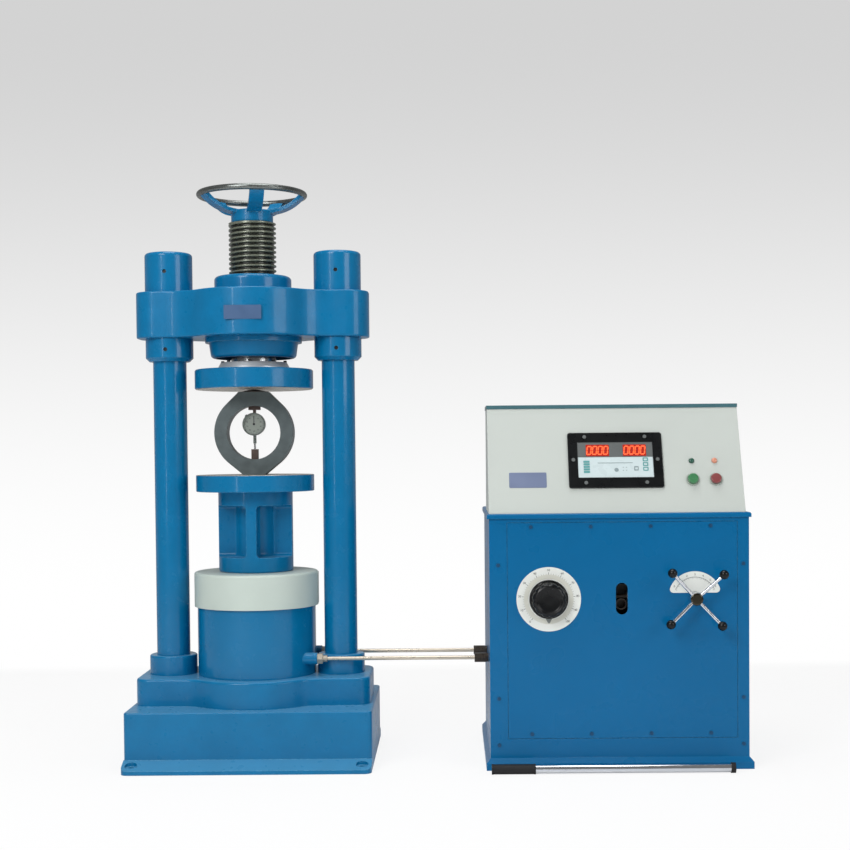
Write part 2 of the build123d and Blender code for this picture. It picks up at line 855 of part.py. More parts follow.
# Lower platen
with BuildPart() as lower_platen:
    with BuildSketch(Plane.XY.offset(lower_platen_bottom)):
        Circle(platen_diameter / 2)
    extrude(amount=lower_platen_height)
    chamfer(lower_platen.faces().filter_by(Axis.Z).edges(), platen_edge / 2)
save(lower_platen, "lower_platen")

# Proving ring: its outline is drawn tight round the ring, the head and the foot
with BuildPart() as proving_ring:
    with BuildSketch(Plane.XZ):
        with Locations((0, ring_z)):
            Circle(ring_radius)
        with Locations((0, ring_top)):
            Rectangle(ring_head_width, ring_land, align=(Align.CENTER, Align.MAX))
        with Locations((0, lower_platen_top)):
            Rectangle(ring_foot_width, ring_land, align=(Align.CENTER, Align.MIN))
        make_hull()
        with Locations((0, ring_z)):
            Circle(ring_bore, mode=Mode.SUBTRACT)
    extrude(amount=ring_width / 2, both=True)
save(proving_ring, "proving_ring")

# Domed pad between the proving ring and the upper platen
pad_shoulder = pad_top - pad_dome + (pad_dome**2 - (pad_diameter / 2) ** 2) ** 0.5
with BuildPart() as bearing_pad:
    with BuildSketch(Plane.XZ):
        with BuildLine():
            Polyline(
                (0, pad_top), (0, ring_top), (pad_diameter / 2, ring_top),
                (pad_diameter / 2, pad_shoulder),
            )
            RadiusArc((pad_diameter / 2, pad_shoulder), (0, pad_top), -pad_dome)
        make_face()
    revolve(axis=Axis.Z)
save(bearing_pad, "bearing_pad")

# Gauge bracket under the ring's crown and anvil on its floor, both shaped to the bore
with BuildPart() as gauge_mounts:
    with BuildSketch(Plane.XZ):
        with Locations((0, ring_z)):
            Circle(ring_bore - slip_gap)
        with Locations((0, ring_z + ring_bore - bracket_drop)):
            Rectangle(
                bracket_width, 2 * bracket_drop,
                align=(Align.CENTER, Align.MIN), mode=Mode.INTERSECT,
            )
        with Locations((0, gauge_z)):
            Rectangle(
                lug_width, ring_z + ring_bore - gauge_z - lug_sink,
                align=(Align.CENTER, Align.MIN),
            )
            Circle(gauge_case / 2, mode=Mode.SUBTRACT)
    extrude(amount=bracket_depth / 2, both=True)
    with BuildSketch(Plane.XZ):
        with Locations((0, ring_z)):
            Circle(ring_bore - slip_gap)
        with Locations((0, ring_z - ring_bore)):
            Rectangle(
                anvil_width, 2 * anvil_rise,
                align=(Align.CENTER, Align.CENTER), mode=Mode.INTERSECT,
            )
    extrude(amount=anvil_width / 2, both=True)
save(gauge_mounts, "gauge_mounts")
anvil_top = ring_z - ring_bore + anvil_rise

# Dial gauge case with bezel, stem and crown
gauge_plane = Plane.XZ.offset(-gauge_back)
with BuildPart() as gauge_body:
    with BuildSketch(gauge_plane):
        with Locations((0, gauge_z)):
            Circle(gauge_case / 2)
    extrude(amount=gauge_back - gauge_front - gauge_rim)
    with BuildSketch(Plane.XZ.offset(-gauge_front)):
        with Locations((0, gauge_z)):
            Circle(gauge_bezel / 2)
    extrude(amount=-gauge_bezel_depth)
    with BuildSketch(Plane.XY.offset(gauge_z - gauge_case / 2 - gauge_stem_length)):
        Circle(gauge_stem_diameter / 2)
    extrude(amount=gauge_stem_length + gauge_case / 4)
    crown_plane = Plane(origin=(0, 0, gauge_z), x_dir=(0, 1, 0), z_dir=(-1, 0, 1))
    with BuildSketch(crown_plane.offset(gauge_case / 4)):
        Circle(gauge_crown_diameter / 2)
    extrude(amount=gauge_case / 4 + gauge_crown_length)
    with BuildSketch(Plane.XZ.offset(-gauge_front)):
        with Locations((0, gauge_z)):
            Circle(gauge_window / 2)
    extrude(amount=gauge_front - gauge_face, mode=Mode.SUBTRACT)
    with BuildSketch(Plane.XZ.offset(-gauge_face)):
        with Locations((0, gauge_z)):
            Circle(pointer_shaft / 2 + slip_gap)
    extrude(amount=-(gauge_back - gauge_face) / 4, mode=Mode.SUBTRACT)
    with BuildSketch(Plane.XY.offset(gauge_z - gauge_case / 2 - gauge_stem_length)):
        Circle(spindle_diameter / 2 + slip_gap)
    extrude(amount=gauge_stem_length + gauge_case / 2, mode=Mode.SUBTRACT)
save(gauge_body, "gauge_body")

# Gauge glass
with BuildPart() as gauge_lens:
    with BuildSketch(Plane.XZ.offset(-gauge_front - gauge_rim / 2)):
        with Locations((0, gauge_z)):
            Circle(gauge_window / 2 - slip_gap)
    extrude(amount=-gauge_glass)
save(gauge_lens, "gauge_lens")

# Gauge pointer on its shaft
with BuildPart() as gauge_pointer:
    pointer_plane = Plane.XZ.offset(-gauge_face + rest_gap)
    with BuildSketch(pointer_plane):
        with Locations((0, gauge_z)):
            Circle(pointer_hub / 2)
            Rectangle(pointer_width, pointer_length, align=(Align.CENTER, Align.MIN))
    extrude(amount=pointer_thickness)
    with BuildSketch(pointer_plane):
        with Locations((0, gauge_z)):
            Circle(pointer_shaft / 2)
    extrude(amount=-(gauge_back - gauge_face) / 5)
save(gauge_pointer, "gauge_pointer")

# Gauge spindle, standing on the anvil
with BuildPart() as gauge_spindle:
    with BuildSketch(Plane.XY.offset(anvil_top + rest_gap)):
        Circle(spindle_diameter / 2)
    extrude(amount=gauge_z - spindle_travel - spindle_stop - anvil_top)
    chamfer(gauge_spindle.faces().sort_by(Axis.Z)[0].edges(), spindle_chamfer)
save(gauge_spindle, "gauge_spindle")

# Hydraulic fittings: hexagon adaptors at the cylinder, black connectors in the cabinet wall
connector_start = cabinet_left - connector_outside
with BuildPart() as pipe_fittings:
    for start, length, shape in ((port_reach, fitting_hex_length, "hex"),
                                 (port_reach, fitting_length, "nose"),
                                 (connector_start, connector_length, "round")):
        with BuildSketch(Plane.YZ.offset(start)):
            with Locations(*ports):
                if shape == "hex":
                    RegularPolygon(fitting_hex / 2, 6, major_radius=False)
                else:
                    Circle((fitting_nose if shape == "nose" else connector_diameter) / 2)
        extrude(amount=length)
    with BuildSketch(Plane.YZ.offset(port_reach)):
        with Locations(*ports):
            Circle(fitting_bore / 2)
    extrude(amount=connector_start + connector_length - port_reach, mode=Mode.SUBTRACT)
    with BuildSketch(Plane.YZ.offset(fitting_end - pipe_socket)):
        with Locations(*ports):
            Circle(pipe_diameter / 2 + slip_gap)
    extrude(amount=connector_start + pipe_socket - fitting_end + pipe_socket, mode=Mode.SUBTRACT)
save(pipe_fittings, "pipe_fittings")

# Steel pipes from the cylinder to the cabinet
for name, (across, height) in zip(("pressure_pipe", "return_pipe"), ports):
    with BuildPart() as pipe:
        with BuildSketch(Plane.YZ.offset(fitting_end - pipe_socket)):
            with Locations((across, height)):
                Circle(pipe_diameter / 2)
                Circle(pipe_bore / 2, mode=Mode.SUBTRACT)
        extrude(amount=connector_start + pipe_socket - fitting_end + pipe_socket)
    save(pipe, name)

# Union nuts at the cabinet
with BuildPart() as pipe_nuts:
    with BuildSketch(Plane.YZ.offset(connector_start - pipe_nut_length)):
        with Locations(*ports):
            RegularPolygon(pipe_nut_hex / 2, 6, major_radius=False)
            Circle(pipe_diameter / 2 + slip_gap, mode=Mode.SUBTRACT)
    extrude(amount=pipe_nut_length)
save(pipe_nuts, "pipe_nuts")

# Cabinet shell: folded sheet with a flared foot, a front opening between posts and a rear one
opening_left = cabinet_left + post_left
opening_right = cabinet_right - post_right
opening_x = (opening_left + opening_right) / 2
opening_width = opening_right - opening_left
opening_height = cabinet_height - header_height - plinth_height
with BuildPart() as cabinet_shell:
    with BuildSketch():
        with Locations((cabinet_x, cabinet_y)):
            Rectangle(cabinet_width, cabinet_depth)
    extrude(amount=cabinet_height)
    with BuildSketch():
        with Locations((cabinet_x, cabinet_y)):
            Rectangle(cabinet_width + 2 * cabinet_flare, cabinet_depth + 2 * cabinet_flare)
    extrude(amount=flare_foot_height)
    with BuildSketch(Plane.XY.offset(flare_foot_height)):
        with Locations((cabinet_x, cabinet_y)):
            Rectangle(cabinet_width + 2 * cabinet_flare, cabinet_depth + 2 * cabinet_flare)
    flare_rise = flare_top_height - flare_foot_height
    extrude(amount=flare_rise, taper=degrees(atan2(cabinet_flare, flare_rise)))
    with BuildSketch(Plane.XY.offset(sheet)):
        with Locations((cabinet_x, cabinet_y)):
            Rectangle(cabinet_width - 2 * sheet, cabinet_depth - 2 * sheet)
    extrude(amount=cabinet_height, mode=Mode.SUBTRACT)
    with BuildSketch(Plane.XZ.offset(-panel_back)):
        with Locations((opening_x, plinth_height + opening_height / 2)):
            Rectangle(opening_width + 2 * sheet, opening_height + 2 * sheet)
    extrude(amount=-sheet)
    with BuildSketch(Plane.XZ.offset(-cabinet_front)):
        with Locations((opening_x, plinth_height)):
            Rectangle(opening_width, opening_height, align=(Align.CENTER, Align.MIN))
    extrude(amount=-sheet, mode=Mode.SUBTRACT)
    with BuildSketch(Plane.XZ.offset(-panel_back)):
        with Locations((opening_x, plinth_height + opening_height / 2)):
            Rectangle(opening_width - 2 * return_width, opening_height - 2 * return_width)
    extrude(amount=-sheet, mode=Mode.SUBTRACT)
    with BuildSketch(Plane.XZ.offset(-cabinet_back)):
        with Locations((cabinet_x, cabinet_height / 2)):
            Rectangle(cabinet_width - 2 * rear_margin, cabinet_height - 2 * rear_margin)
    extrude(amount=sheet, mode=Mode.SUBTRACT)
    with BuildSketch(Plane.YZ.offset(cabinet_left)):
        with Locations(*ports):
            Circle(connector_diameter / 2 + slip_gap)
    extrude(amount=sheet, mode=Mode.SUBTRACT)
save(cabinet_shell, "cabinet_shell")

# Front panel, flush between the posts, cut for the knob, the lever slot and the star handle
shaft_hole = shaft_diameter / 2 + shaft_room
with BuildPart() as front_panel:
    with BuildSketch(Plane.XZ.offset(-cabinet_front)):
        with Locations((opening_x, plinth_height + opening_height / 2)):
            Rectangle(opening_width - 2 * panel_play, opening_height - 2 * panel_play)
        with Locations((dial_x, controls_height), (star_x, controls_height)):
            Circle(shaft_hole, mode=Mode.SUBTRACT)
        with Locations((slot_x, controls_height)):
            SlotOverall(slot_height, slot_width, rotation=90, mode=Mode.SUBTRACT)
    extrude(amount=-sheet)
save(front_panel, "front_panel")

# Rear service panel with a column of vents, screwed on from outside
with BuildPart() as rear_panel:
    with BuildSketch(Plane.XZ.offset(-cabinet_back)):
        with Locations((cabinet_x, cabinet_height / 2)):
            Rectangle(
                cabinet_width - 2 * rear_margin + 2 * return_width,
                cabinet_height - 2 * rear_margin + 2 * return_width,
            )
        with Locations((cabinet_x, cabinet_height - vent_drop)):
            with GridLocations(0, vent_pitch, 1, vent_count):
                SlotOverall(vent_width, vent_height, mode=Mode.SUBTRACT)
        with Locations((gland_x, gland_rise)):
            Circle(gland_bore / 2 + gland_wall, mode=Mode.SUBTRACT)
    extrude(amount=-sheet)
save(rear_panel, "rear_panel")

# Mains inlet gland
with BuildPart() as cable_gland:
    with BuildSketch(Plane.XZ.offset(-cabinet_back - sheet)):
        with Locations((gland_x, gland_rise)):
            RegularPolygon(gland_hex / 2, 6, major_radius=False)
    extrude(amount=-gland_length)
    with BuildSketch(Plane.XZ.offset(-cabinet_back - sheet)):
        with Locations((gland_x, gland_rise)):
            Circle(gland_bore / 2 + gland_wall - slip_gap)
    extrude(amount=2 * sheet)
    with BuildSketch(Plane.XZ.offset(-cabinet_back - sheet - gland_length)):
        with Locations((gland_x, gland_rise)):
            Circle(gland_bore / 2)
    extrude(amount=gland_length + 2 * sheet, mode=Mode.SUBTRACT)
save(cable_gland, "cable_gland")

# Deck: a folded tray that closes the cabinet and overhangs it all round
deck_width = cabinet_width + 2 * deck_overhang
deck_depth = cabinet_depth + 2 * deck_overhang
with BuildPart() as deck:
    with BuildSketch(Plane.XY.offset(cabinet_height)):
        with Locations((cabinet_x, cabinet_y)):
            Rectangle(deck_width, deck_depth)
    extrude(amount=deck_thickness)
    fillet(deck.faces().sort_by(Axis.Z)[-1].edges(), deck_edge)
    with BuildSketch(Plane.XY.offset(cabinet_height)):
        with Locations((cabinet_x, cabinet_y)):
            Rectangle(cabinet_width - 2 * sheet, cabinet_depth - 2 * sheet)
    extrude(amount=deck_thickness - sheet, mode=Mode.SUBTRACT)
save(deck, "deck")

# Console: a wedge of folded sheet whose face leans back
console_x = cabinet_left + console_width / 2
console_foot = cabinet_front + console_setback
lean_vector = Vector(0, 1, 0).rotate(Axis.X, 90 - console_lean)
face_plane = Plane(
    origin=(0, console_foot, deck_top), x_dir=(1, 0, 0),
    z_dir=Vector(0, -1, 0).rotate(Axis.X, -console_lean),
)
console_shift = console_height * lean_vector.Y / lean_vector.Z
console_back = console_foot + console_shift + console_top_depth
console_top = deck_top + console_height
with BuildPart() as console_shell:
    with BuildSketch(Plane.YZ.offset(cabinet_left)):
        with BuildLine():
            Polyline(
                (console_foot, deck_top),
                (console_foot + console_shift, console_top),
                (console_back, console_top),
                (console_back, deck_top),
                close=True,
            )
        make_face()
    extrude(amount=console_width)
    with BuildSketch(Plane.YZ.offset(cabinet_left + console_sheet)):
        with BuildLine():
            face_wall = console_sheet / lean_vector.Z
            Polyline(
                (console_foot + face_wall - console_shift, deck_top - console_height),
                (console_foot + face_wall + 2 * console_shift, console_top + console_height),
                (console_back - console_sheet, console_top + console_height),
                (console_back - console_sheet, deck_top - console_height),
                close=True,
            )
        make_face()
    extrude(amount=console_width - 2 * console_sheet, mode=Mode.SUBTRACT)
    with BuildSketch(face_plane):
        with Locations((bezel_x, bezel_rise)):
            Rectangle(window_width + 2 * screen_border, window_height + 2 * screen_border)
        with Locations(*[(x, button_rise) for x in button_x]):
            Circle(button_stem / 2 + slip_gap)
        with Locations(*[(x, lamp_rise) for x in button_x]):
            Circle(lamp_stem / 2 + slip_gap)
    extrude(amount=-2 * console_sheet, mode=Mode.SUBTRACT)
save(console_shell, "console_shell")

# Console lid
with BuildPart() as console_lid:
    with BuildSketch(Plane.XY.offset(console_top)):
        with Locations((console_x, console_foot + console_shift + console_top_depth / 2)):
            Rectangle(console_width + 2 * lid_overhang, console_top_depth + 2 * lid_overhang)
    extrude(amount=lid_thickness)
    fillet(console_lid.edges().filter_by(Axis.Z), lid_corner)
save(console_lid, "console_lid")

# Display bezel with its window
with BuildPart() as display_bezel:
    with BuildSketch(face_plane):
        with Locations((bezel_x, bezel_rise)):
            RectangleRounded(bezel_width, bezel_height, bezel_corner)
            Rectangle(window_width, window_height, mode=Mode.SUBTRACT)
    extrude(amount=bezel_thickness)
    chamfer(display_bezel.faces().sort_by(Axis.Y)[0].outer_wire().edges(), bezel_chamfer)
save(display_bezel, "display_bezel")

# Display module: its face lies just behind the bezel, its body reaches into the console
with BuildPart() as display_screen:
    with BuildSketch(face_plane):
        with Locations((bezel_x, bezel_rise)):
            Rectangle(window_width - 2 * slip_gap, window_height - 2 * slip_gap)
    extrude(amount=bezel_thickness - screen_recess)
    with BuildSketch(face_plane):
        with Locations((bezel_x, bezel_rise)):
            Rectangle(
                window_width + 2 * (screen_border - slip_gap),
                window_height + 2 * (screen_border - slip_gap),
            )
    extrude(amount=-screen_depth)
save(display_screen, "display_screen")

# Button collars
with BuildPart() as button_collars:
    with BuildSketch(face_plane):
        with Locations(*[(x, button_rise) for x in button_x]):
            Circle(collar_diameter / 2)
            Circle(button_diameter / 2 + rest_gap, mode=Mode.SUBTRACT)
    extrude(amount=button_travel)
save(button_collars, "button_collars")

# Start and stop push buttons, held off the face by their travel
for name, across in zip(("start_button", "stop_button"), button_x):
    with BuildPart() as button:
        with BuildSketch(face_plane.offset(button_travel + rest_gap)):
            with Locations((across, button_rise)):
                Circle(button_diameter / 2)
        extrude(amount=button_height)
        fillet(button.faces().sort_by(Axis.Y)[0].edges(), button_edge)
        with BuildSketch(face_plane.offset(button_travel + rest_gap)):
            with Locations((across, button_rise)):
                Circle(button_stem / 2)
        extrude(amount=-button_stem_length)
    save(button, name)

# Indicator lamps
with BuildPart() as lamps:
    with BuildSketch(face_plane):
        with Locations(*[(x, lamp_rise) for x in button_x]):
            Circle(lamp_diameter / 2)
    extrude(amount=lamp_height)
    fillet(lamps.edges().filter_by(GeomType.CIRCLE).filter_by(
        lambda e: face_plane.to_local_coords(e.center()).Z > lamp_height / 2
    ), lamp_edge)
    with BuildSketch(face_plane):
        with Locations(*[(x, lamp_rise) for x in button_x]):
            Circle(lamp_stem / 2)
    extrude(amount=-lamp_stem)
save(lamps, "lamps")

# Graduated plates on the front panel: a disc behind the knob and a fan behind the star handle
panel_face = Plane.XZ.offset(-cabinet_front)
with BuildPart() as scale_plates:
    with BuildSketch(panel_face):
        with Locations((dial_x, controls_height)):
            Circle(dial_diameter / 2)
            Circle(shaft_hole, mode=Mode.SUBTRACT)
    extrude(amount=plate_thickness)
    with BuildSketch(panel_face) as fan_outline:
        with Locations((star_x, controls_height)):
            Circle(fan_radius)
        with Locations((star_x, controls_height + fan_bottom)):
            Rectangle(
                3 * fan_radius, 2 * fan_radius,
                align=(Align.CENTER, Align.MIN), mode=Mode.INTERSECT,
            )
        fillet(fan_outline.vertices(), fan_corner)
        with Locations((star_x, controls_height)):
            Circle(star_hub_diameter / 2 + rest_gap, mode=Mode.SUBTRACT)
    extrude(amount=plate_thickness)
save(scale_plates, "scale_plates")

# Loading-rate knob on its shaft
with BuildPart() as rate_knob:
    knob_foot = panel_face.offset(plate_thickness + rest_gap)
    with BuildSketch(knob_foot):
        with Locations((dial_x, controls_height)):
            Circle(knob_diameter / 2)
    extrude(amount=knob_height)
    fillet(rate_knob.faces().sort_by(Axis.Y)[0].edges(), knob_edge)
    with BuildSketch(knob_foot.offset(knob_height)):
        with Locations((dial_x, controls_height)):
            Circle(knob_groove_outer / 2)
            Circle(knob_groove_inner / 2, mode=Mode.SUBTRACT)
    extrude(amount=-knob_groove_depth, mode=Mode.SUBTRACT)
    with BuildSketch(knob_foot):
        with Locations((dial_x, controls_height)):
            Circle(shaft_diameter / 2)
    extrude(amount=-(block_back - cabinet_front - block_depth / 4))
save(rate_knob, "rate_knob")

# Star handle: hub, shaft and four arms splayed away from the panel
star_origin = Vector(star_x, cabinet_front, controls_height)
with BuildPart() as star_handle:
    with BuildSketch(panel_face.offset(rest_gap)):
        with Locations((star_x, controls_height)):
            Circle(star_hub_diameter / 2)
    extrude(amount=star_hub_height)
    fillet(star_handle.faces().sort_by(Axis.Y)[0].edges(), star_hub_edge)
    with BuildSketch(panel_face.offset(rest_gap)):
        with Locations((star_x, controls_height)):
            Circle(shaft_diameter / 2)
    extrude(amount=-(block_back - cabinet_front - block_depth / 4))
    arm_root = star_origin - Vector(0, star_root_rise, 0)
    ball_places = []
    for turn in range(4):
        outward = Vector(1, 0, 0).rotate(Axis.Y, -star_arm_angle - 90 * turn)
        ball_place = star_origin + outward * star_arm_length - Vector(0, star_ball_rise, 0)
        ball_places.append(ball_place)
        with BuildSketch(Plane(origin=arm_root, z_dir=ball_place - arm_root)):
            Circle(star_arm_diameter / 2)
        extrude(amount=(ball_place - arm_root).length)
save(star_handle, "star_handle")

# Balls on the star handle's arms, each turned about its arm and drilled to its centre
with BuildPart() as star_balls:
    for ball_place in ball_places:
        arm_way = (arm_root - ball_place).normalized()
        across_way = arm_way.cross(Vector(0, 1, 0))
        with BuildSketch(Plane(origin=ball_place, x_dir=arm_way, z_dir=across_way)):
            Circle(star_ball_diameter / 2)
            Rectangle(
                star_ball_diameter, star_ball_diameter,
                align=(Align.CENTER, Align.MIN), mode=Mode.INTERSECT,
            )
            Rectangle(
                star_ball_diameter, star_arm_diameter / 2 + slip_gap,
                align=(Align.MIN, Align.MIN), mode=Mode.SUBTRACT,
            )
        revolve(axis=Axis(ball_place, arm_way))
save(star_balls, "star_balls")

# Valve block behind the panel: carries both spindles and the lever's pin between two ears
block_x = (dial_x + star_x) / 2
with BuildPart() as valve_block:
    with BuildSketch(Plane.XZ.offset(-block_front)):
        with Locations((block_x, controls_height)):
            Rectangle(block_width, block_height)
    extrude(amount=-block_depth)
    with BuildSketch(Plane.XZ.offset(-block_front)):
        with Locations((block_x, controls_height)):
            with GridLocations(block_width - 1.5 * block_foot_diameter,
                               block_height - block_foot_diameter, 2, 2):
                Circle(block_foot_diameter / 2)
    extrude(amount=block_front - panel_back)
    ear_inside = lever_eye_width / 2 + rest_gap
    for side in (-1, 1):
        with BuildSketch(Plane.YZ.offset(slot_x + side * (ear_inside + lever_ear / 2))):
            with Locations((block_front, lever_z)):
                Rectangle(
                    block_front - lever_pin_y, lever_ear_height,
                    align=(Align.MAX, Align.CENTER),
                )
            with Locations((lever_pin_y, lever_z)):
                Circle(lever_ear_height / 2)
        extrude(amount=lever_ear / 2, both=True)
    with BuildSketch(Plane.YZ.offset(slot_x)):
        with Locations((lever_pin_y, lever_z)):
            Circle(lever_pin_diameter / 2)
    extrude(amount=ear_inside, both=True)
    with BuildSketch(Plane.XZ.offset(-block_front)):
        with Locations((dial_x, controls_height), (star_x, controls_height)):
            Circle(shaft_diameter / 2 + slip_gap)
    extrude(amount=-block_depth, mode=Mode.SUBTRACT)
save(valve_block, "valve_block")

# Lever socket of the hand pump: an eye on the pin above a sleeve for the handle
socket_radius_outer = socket_bore / 2 + socket_wall
socket_z = lever_z - socket_drop
with BuildPart() as pump_socket:
    with BuildSketch(Plane.YZ.offset(slot_x)):
        with Locations((lever_pin_y, lever_z)):
            Circle(lever_eye_diameter / 2)
    extrude(amount=lever_eye_width / 2, both=True)
    with BuildSketch(Plane.XZ.offset(-socket_mouth)):
        with Locations((slot_x, socket_z)):
            Circle(socket_radius_outer)
    extrude(amount=-socket_length)
    with BuildSketch(Plane.YZ.offset(slot_x)):
        with Locations((lever_pin_y, lever_z)):
            Circle(lever_pin_diameter / 2 + slip_gap)
    extrude(amount=lever_eye_width / 2, both=True, mode=Mode.SUBTRACT)
    with BuildSketch(Plane.XZ.offset(-socket_mouth)):
        with Locations((slot_x, socket_z)):
            Circle(socket_bore / 2)
    extrude(amount=-(socket_length - socket_wall), mode=Mode.SUBTRACT)
save(pump_socket, "pump_socket")

# Loose pump handle: a steel tube with a rubber grip and end stop, lying before the cabinet
handle_z = grip_diameter / 2
with BuildPart() as pump_handle:
    with BuildSketch(Plane.YZ.offset(handle_left + grip_end)):
        with Locations((handle_y, handle_z)):
            Circle(rod_diameter / 2)
            Circle(rod_diameter / 2 - rod_wall, mode=Mode.SUBTRACT)
    extrude(amount=rod_length)
save(pump_handle, "pump_handle")

# Rubber grip and end stop
with BuildPart() as handle_grip:
    with BuildSketch(Plane.YZ.offset(handle_left)):
        with Locations((handle_y, handle_z)):
            Circle(grip_body_diameter / 2)
    extrude(amount=grip_length)
    for start, length in ((handle_left, grip_flange),
                          (handle_left + grip_length - grip_flange, grip_flange),
                          (handle_left + grip_end + rod_length - stop_length, stop_length)):
        with BuildSketch(Plane.YZ.offset(start)):
            with Locations((handle_y, handle_z)):
                Circle(grip_diameter / 2)
        extrude(amount=length)
    with BuildSketch(Plane.YZ.offset(handle_left + grip_end)):
        with Locations((handle_y, handle_z)):
            Circle(rod_diameter / 2 + slip_gap)
    extrude(amount=rod_length, mode=Mode.SUBTRACT)
save(handle_grip, "handle_grip")

# Oil tank on the cabinet's floor, with a filler hole that opens its inside
tank_top = sheet + tank_height
with BuildPart() as oil_tank:
    with BuildSketch(Plane.XY.offset(sheet)):
        with Locations((tank_left, tank_front)):
            Rectangle(tank_length, tank_depth, align=(Align.MIN, Align.MIN))
    extrude(amount=tank_height)
    with BuildSketch(Plane.XY.offset(sheet + tank_wall)):
        with Locations((tank_left + tank_wall, tank_front + tank_wall)):
            Rectangle(
                tank_length - 2 * tank_wall, tank_depth - 2 * tank_wall,
                align=(Align.MIN, Align.MIN),
            )
    extrude(amount=tank_height - 2 * tank_wall, mode=Mode.SUBTRACT)
    with BuildSketch(Plane.XY.offset(tank_top)):
        with Locations((tank_left + tank_length - filler_diameter, tank_front + filler_diameter)):
            Circle(filler_diameter / 2)
    extrude(amount=-2 * tank_wall, mode=Mode.SUBTRACT)
save(oil_tank, "oil_tank")

# Pump, coupling and motor in line on the tank's lid
pack_z = tank_top + pack_axis_rise
pump_left = tank_left + motor_gap
pump_right = pump_left + pump_length
motor_left = pump_right + coupling_gap
axis_place = (pack_axis_y, pack_z)
with BuildPart() as pump:
    with BuildSketch(Plane.YZ.offset(pump_left)):
        with Locations(axis_place):
            Circle(pump_diameter / 2)
        with Locations((pack_axis_y, tank_top)):
            Rectangle(pump_foot_width, pack_axis_rise, align=(Align.CENTER, Align.MIN))
    extrude(amount=pump_length)
    with BuildSketch(Plane.YZ.offset(pump_right)):
        with Locations(axis_place):
            Circle(drive_shaft / 2 + slip_gap)
    extrude(amount=-(drive_reach + drive_room), mode=Mode.SUBTRACT)
save(pump, "pump")

with BuildPart() as motor:
    with BuildSketch(Plane.YZ.offset(motor_left)):
        with Locations(axis_place):
            Circle(motor_diameter / 2)
    extrude(amount=motor_length)
    for start in (motor_left, motor_left + motor_length - motor_bell):
        with BuildSketch(Plane.YZ.offset(start)):
            with Locations(axis_place):
                Circle(motor_diameter / 2 + motor_bell_lip)
            with Locations((pack_axis_y, tank_top)):
                Rectangle(motor_foot_width, pack_axis_rise, align=(Align.CENTER, Align.MIN))
        extrude(amount=motor_bell)
    with BuildSketch(Plane.XY.offset(pack_z)):
        with Locations((motor_left + motor_length / 2, pack_axis_y)):
            Rectangle(motor_box_length, motor_box_width)
    extrude(amount=motor_diameter / 2 + motor_box_rise)
    with BuildSketch(Plane.YZ.offset(motor_left)):
        with Locations(axis_place):
            Circle(drive_shaft / 2 + slip_gap)
    extrude(amount=drive_reach + drive_room, mode=Mode.SUBTRACT)
save(motor, "motor")

with BuildPart() as motor_coupling:
    with BuildSketch(Plane.YZ.offset(pump_right - drive_reach)):
        with Locations(axis_place):
            Circle(drive_shaft / 2)
    extrude(amount=coupling_gap + 2 * drive_reach)
    with BuildSketch(Plane.YZ.offset(pump_right + coupling_air)):
        with Locations(axis_place):
            Circle(coupling_diameter / 2)
    extrude(amount=coupling_gap - 2 * coupling_air)
save(motor_coupling, "motor_coupling")

# Inner pipes: cylinder line to the valve block, return to the tank, pump to the valve block
connector_end = connector_start + connector_length
block_middle = (block_front + block_back) / 2
hose_block_x = cabinet_left + hose_block_across
routes = (
    ((connector_end, -pipe_offset, pipe_z), (1, 0, 0),
     (hose_block_x, block_middle, controls_height - block_height / 2), (0, 0, 1)),
    ((connector_end, pipe_offset, pipe_z), (1, 0, 0),
     (cabinet_left + hose_tank_across, tank_front + hose_tank_inset, tank_top), (0, 0, -1)),
    ((pump_left + pump_length / 2, pack_axis_y, pack_z + pump_diameter / 2), (0, 0, 1),
     (hose_block_x + hose_spread, block_back, controls_height), (0, -1, 0)),
)
with BuildPart() as inner_pipes:
    for start, start_way, end, end_way in routes:
        with BuildLine() as route:
            Spline(start, end, tangents=(start_way, end_way))
        with BuildSketch(Plane(origin=start, z_dir=start_way)):
            Circle(hose_diameter / 2)
        sweep(path=route.line)
save(inner_pipes, "inner_pipes")

# Small screws of the posts, the front and rear panels and the display bezel
rear_screw_x = cabinet_width / 2 - rear_margin + return_width / 2
rear_screw_z = cabinet_height / 2 - rear_margin + return_width / 2
panel_screw_rows = opening_height - panel_screw_foot - panel_screw_head
panel_screw_z = plinth_height + panel_screw_foot + panel_screw_rows / 2
post_screws = [
    (x, z)
    for x in (cabinet_left + post_left / 2, cabinet_right - post_right / 2)
    for z in (post_screw_foot, post_screw_low, cabinet_height - post_screw_drop)
]
bezel_screws = [(sx * bezel_screw_x, sy * bezel_screw_y) for sx in (-1, 1) for sy in (-1, 1)]
bezel_screws += [(-bezel_screw_side, 0), (bezel_screw_side, 0)]
with BuildPart() as panel_screws:
    with BuildSketch(panel_face):
        with Locations((opening_x + panel_screw_shift, panel_screw_z)):
            with GridLocations(panel_screw_pitch, panel_screw_rows, panel_screw_count, 2):
                Circle(screw_head / 2)
        with Locations(*post_screws):
            Circle(screw_head / 2)
    extrude(amount=screw_head_height)
    with BuildSketch(Plane.XZ.offset(-cabinet_back - sheet)):
        with Locations((cabinet_x, cabinet_height / 2)):
            with GridLocations(2 * rear_screw_x, 2 * rear_screw_z, 2, 2):
                Circle(screw_head / 2)
    extrude(amount=-screw_head_height)
    with BuildSketch(face_plane.offset(bezel_thickness)):
        with Locations(*[(bezel_x + x, bezel_rise + y) for x, y in bezel_screws]):
            Circle(screw_head / 2)
    extrude(amount=screw_head_height)
save(panel_screws, "panel_screws")
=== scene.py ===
"""Compression testing machine: its finishes and fine pieces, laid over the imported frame.

Lengths inside the functions are in metres, in the same frame as the solids.
"""

from math import cos, pi, radians, sin, tau

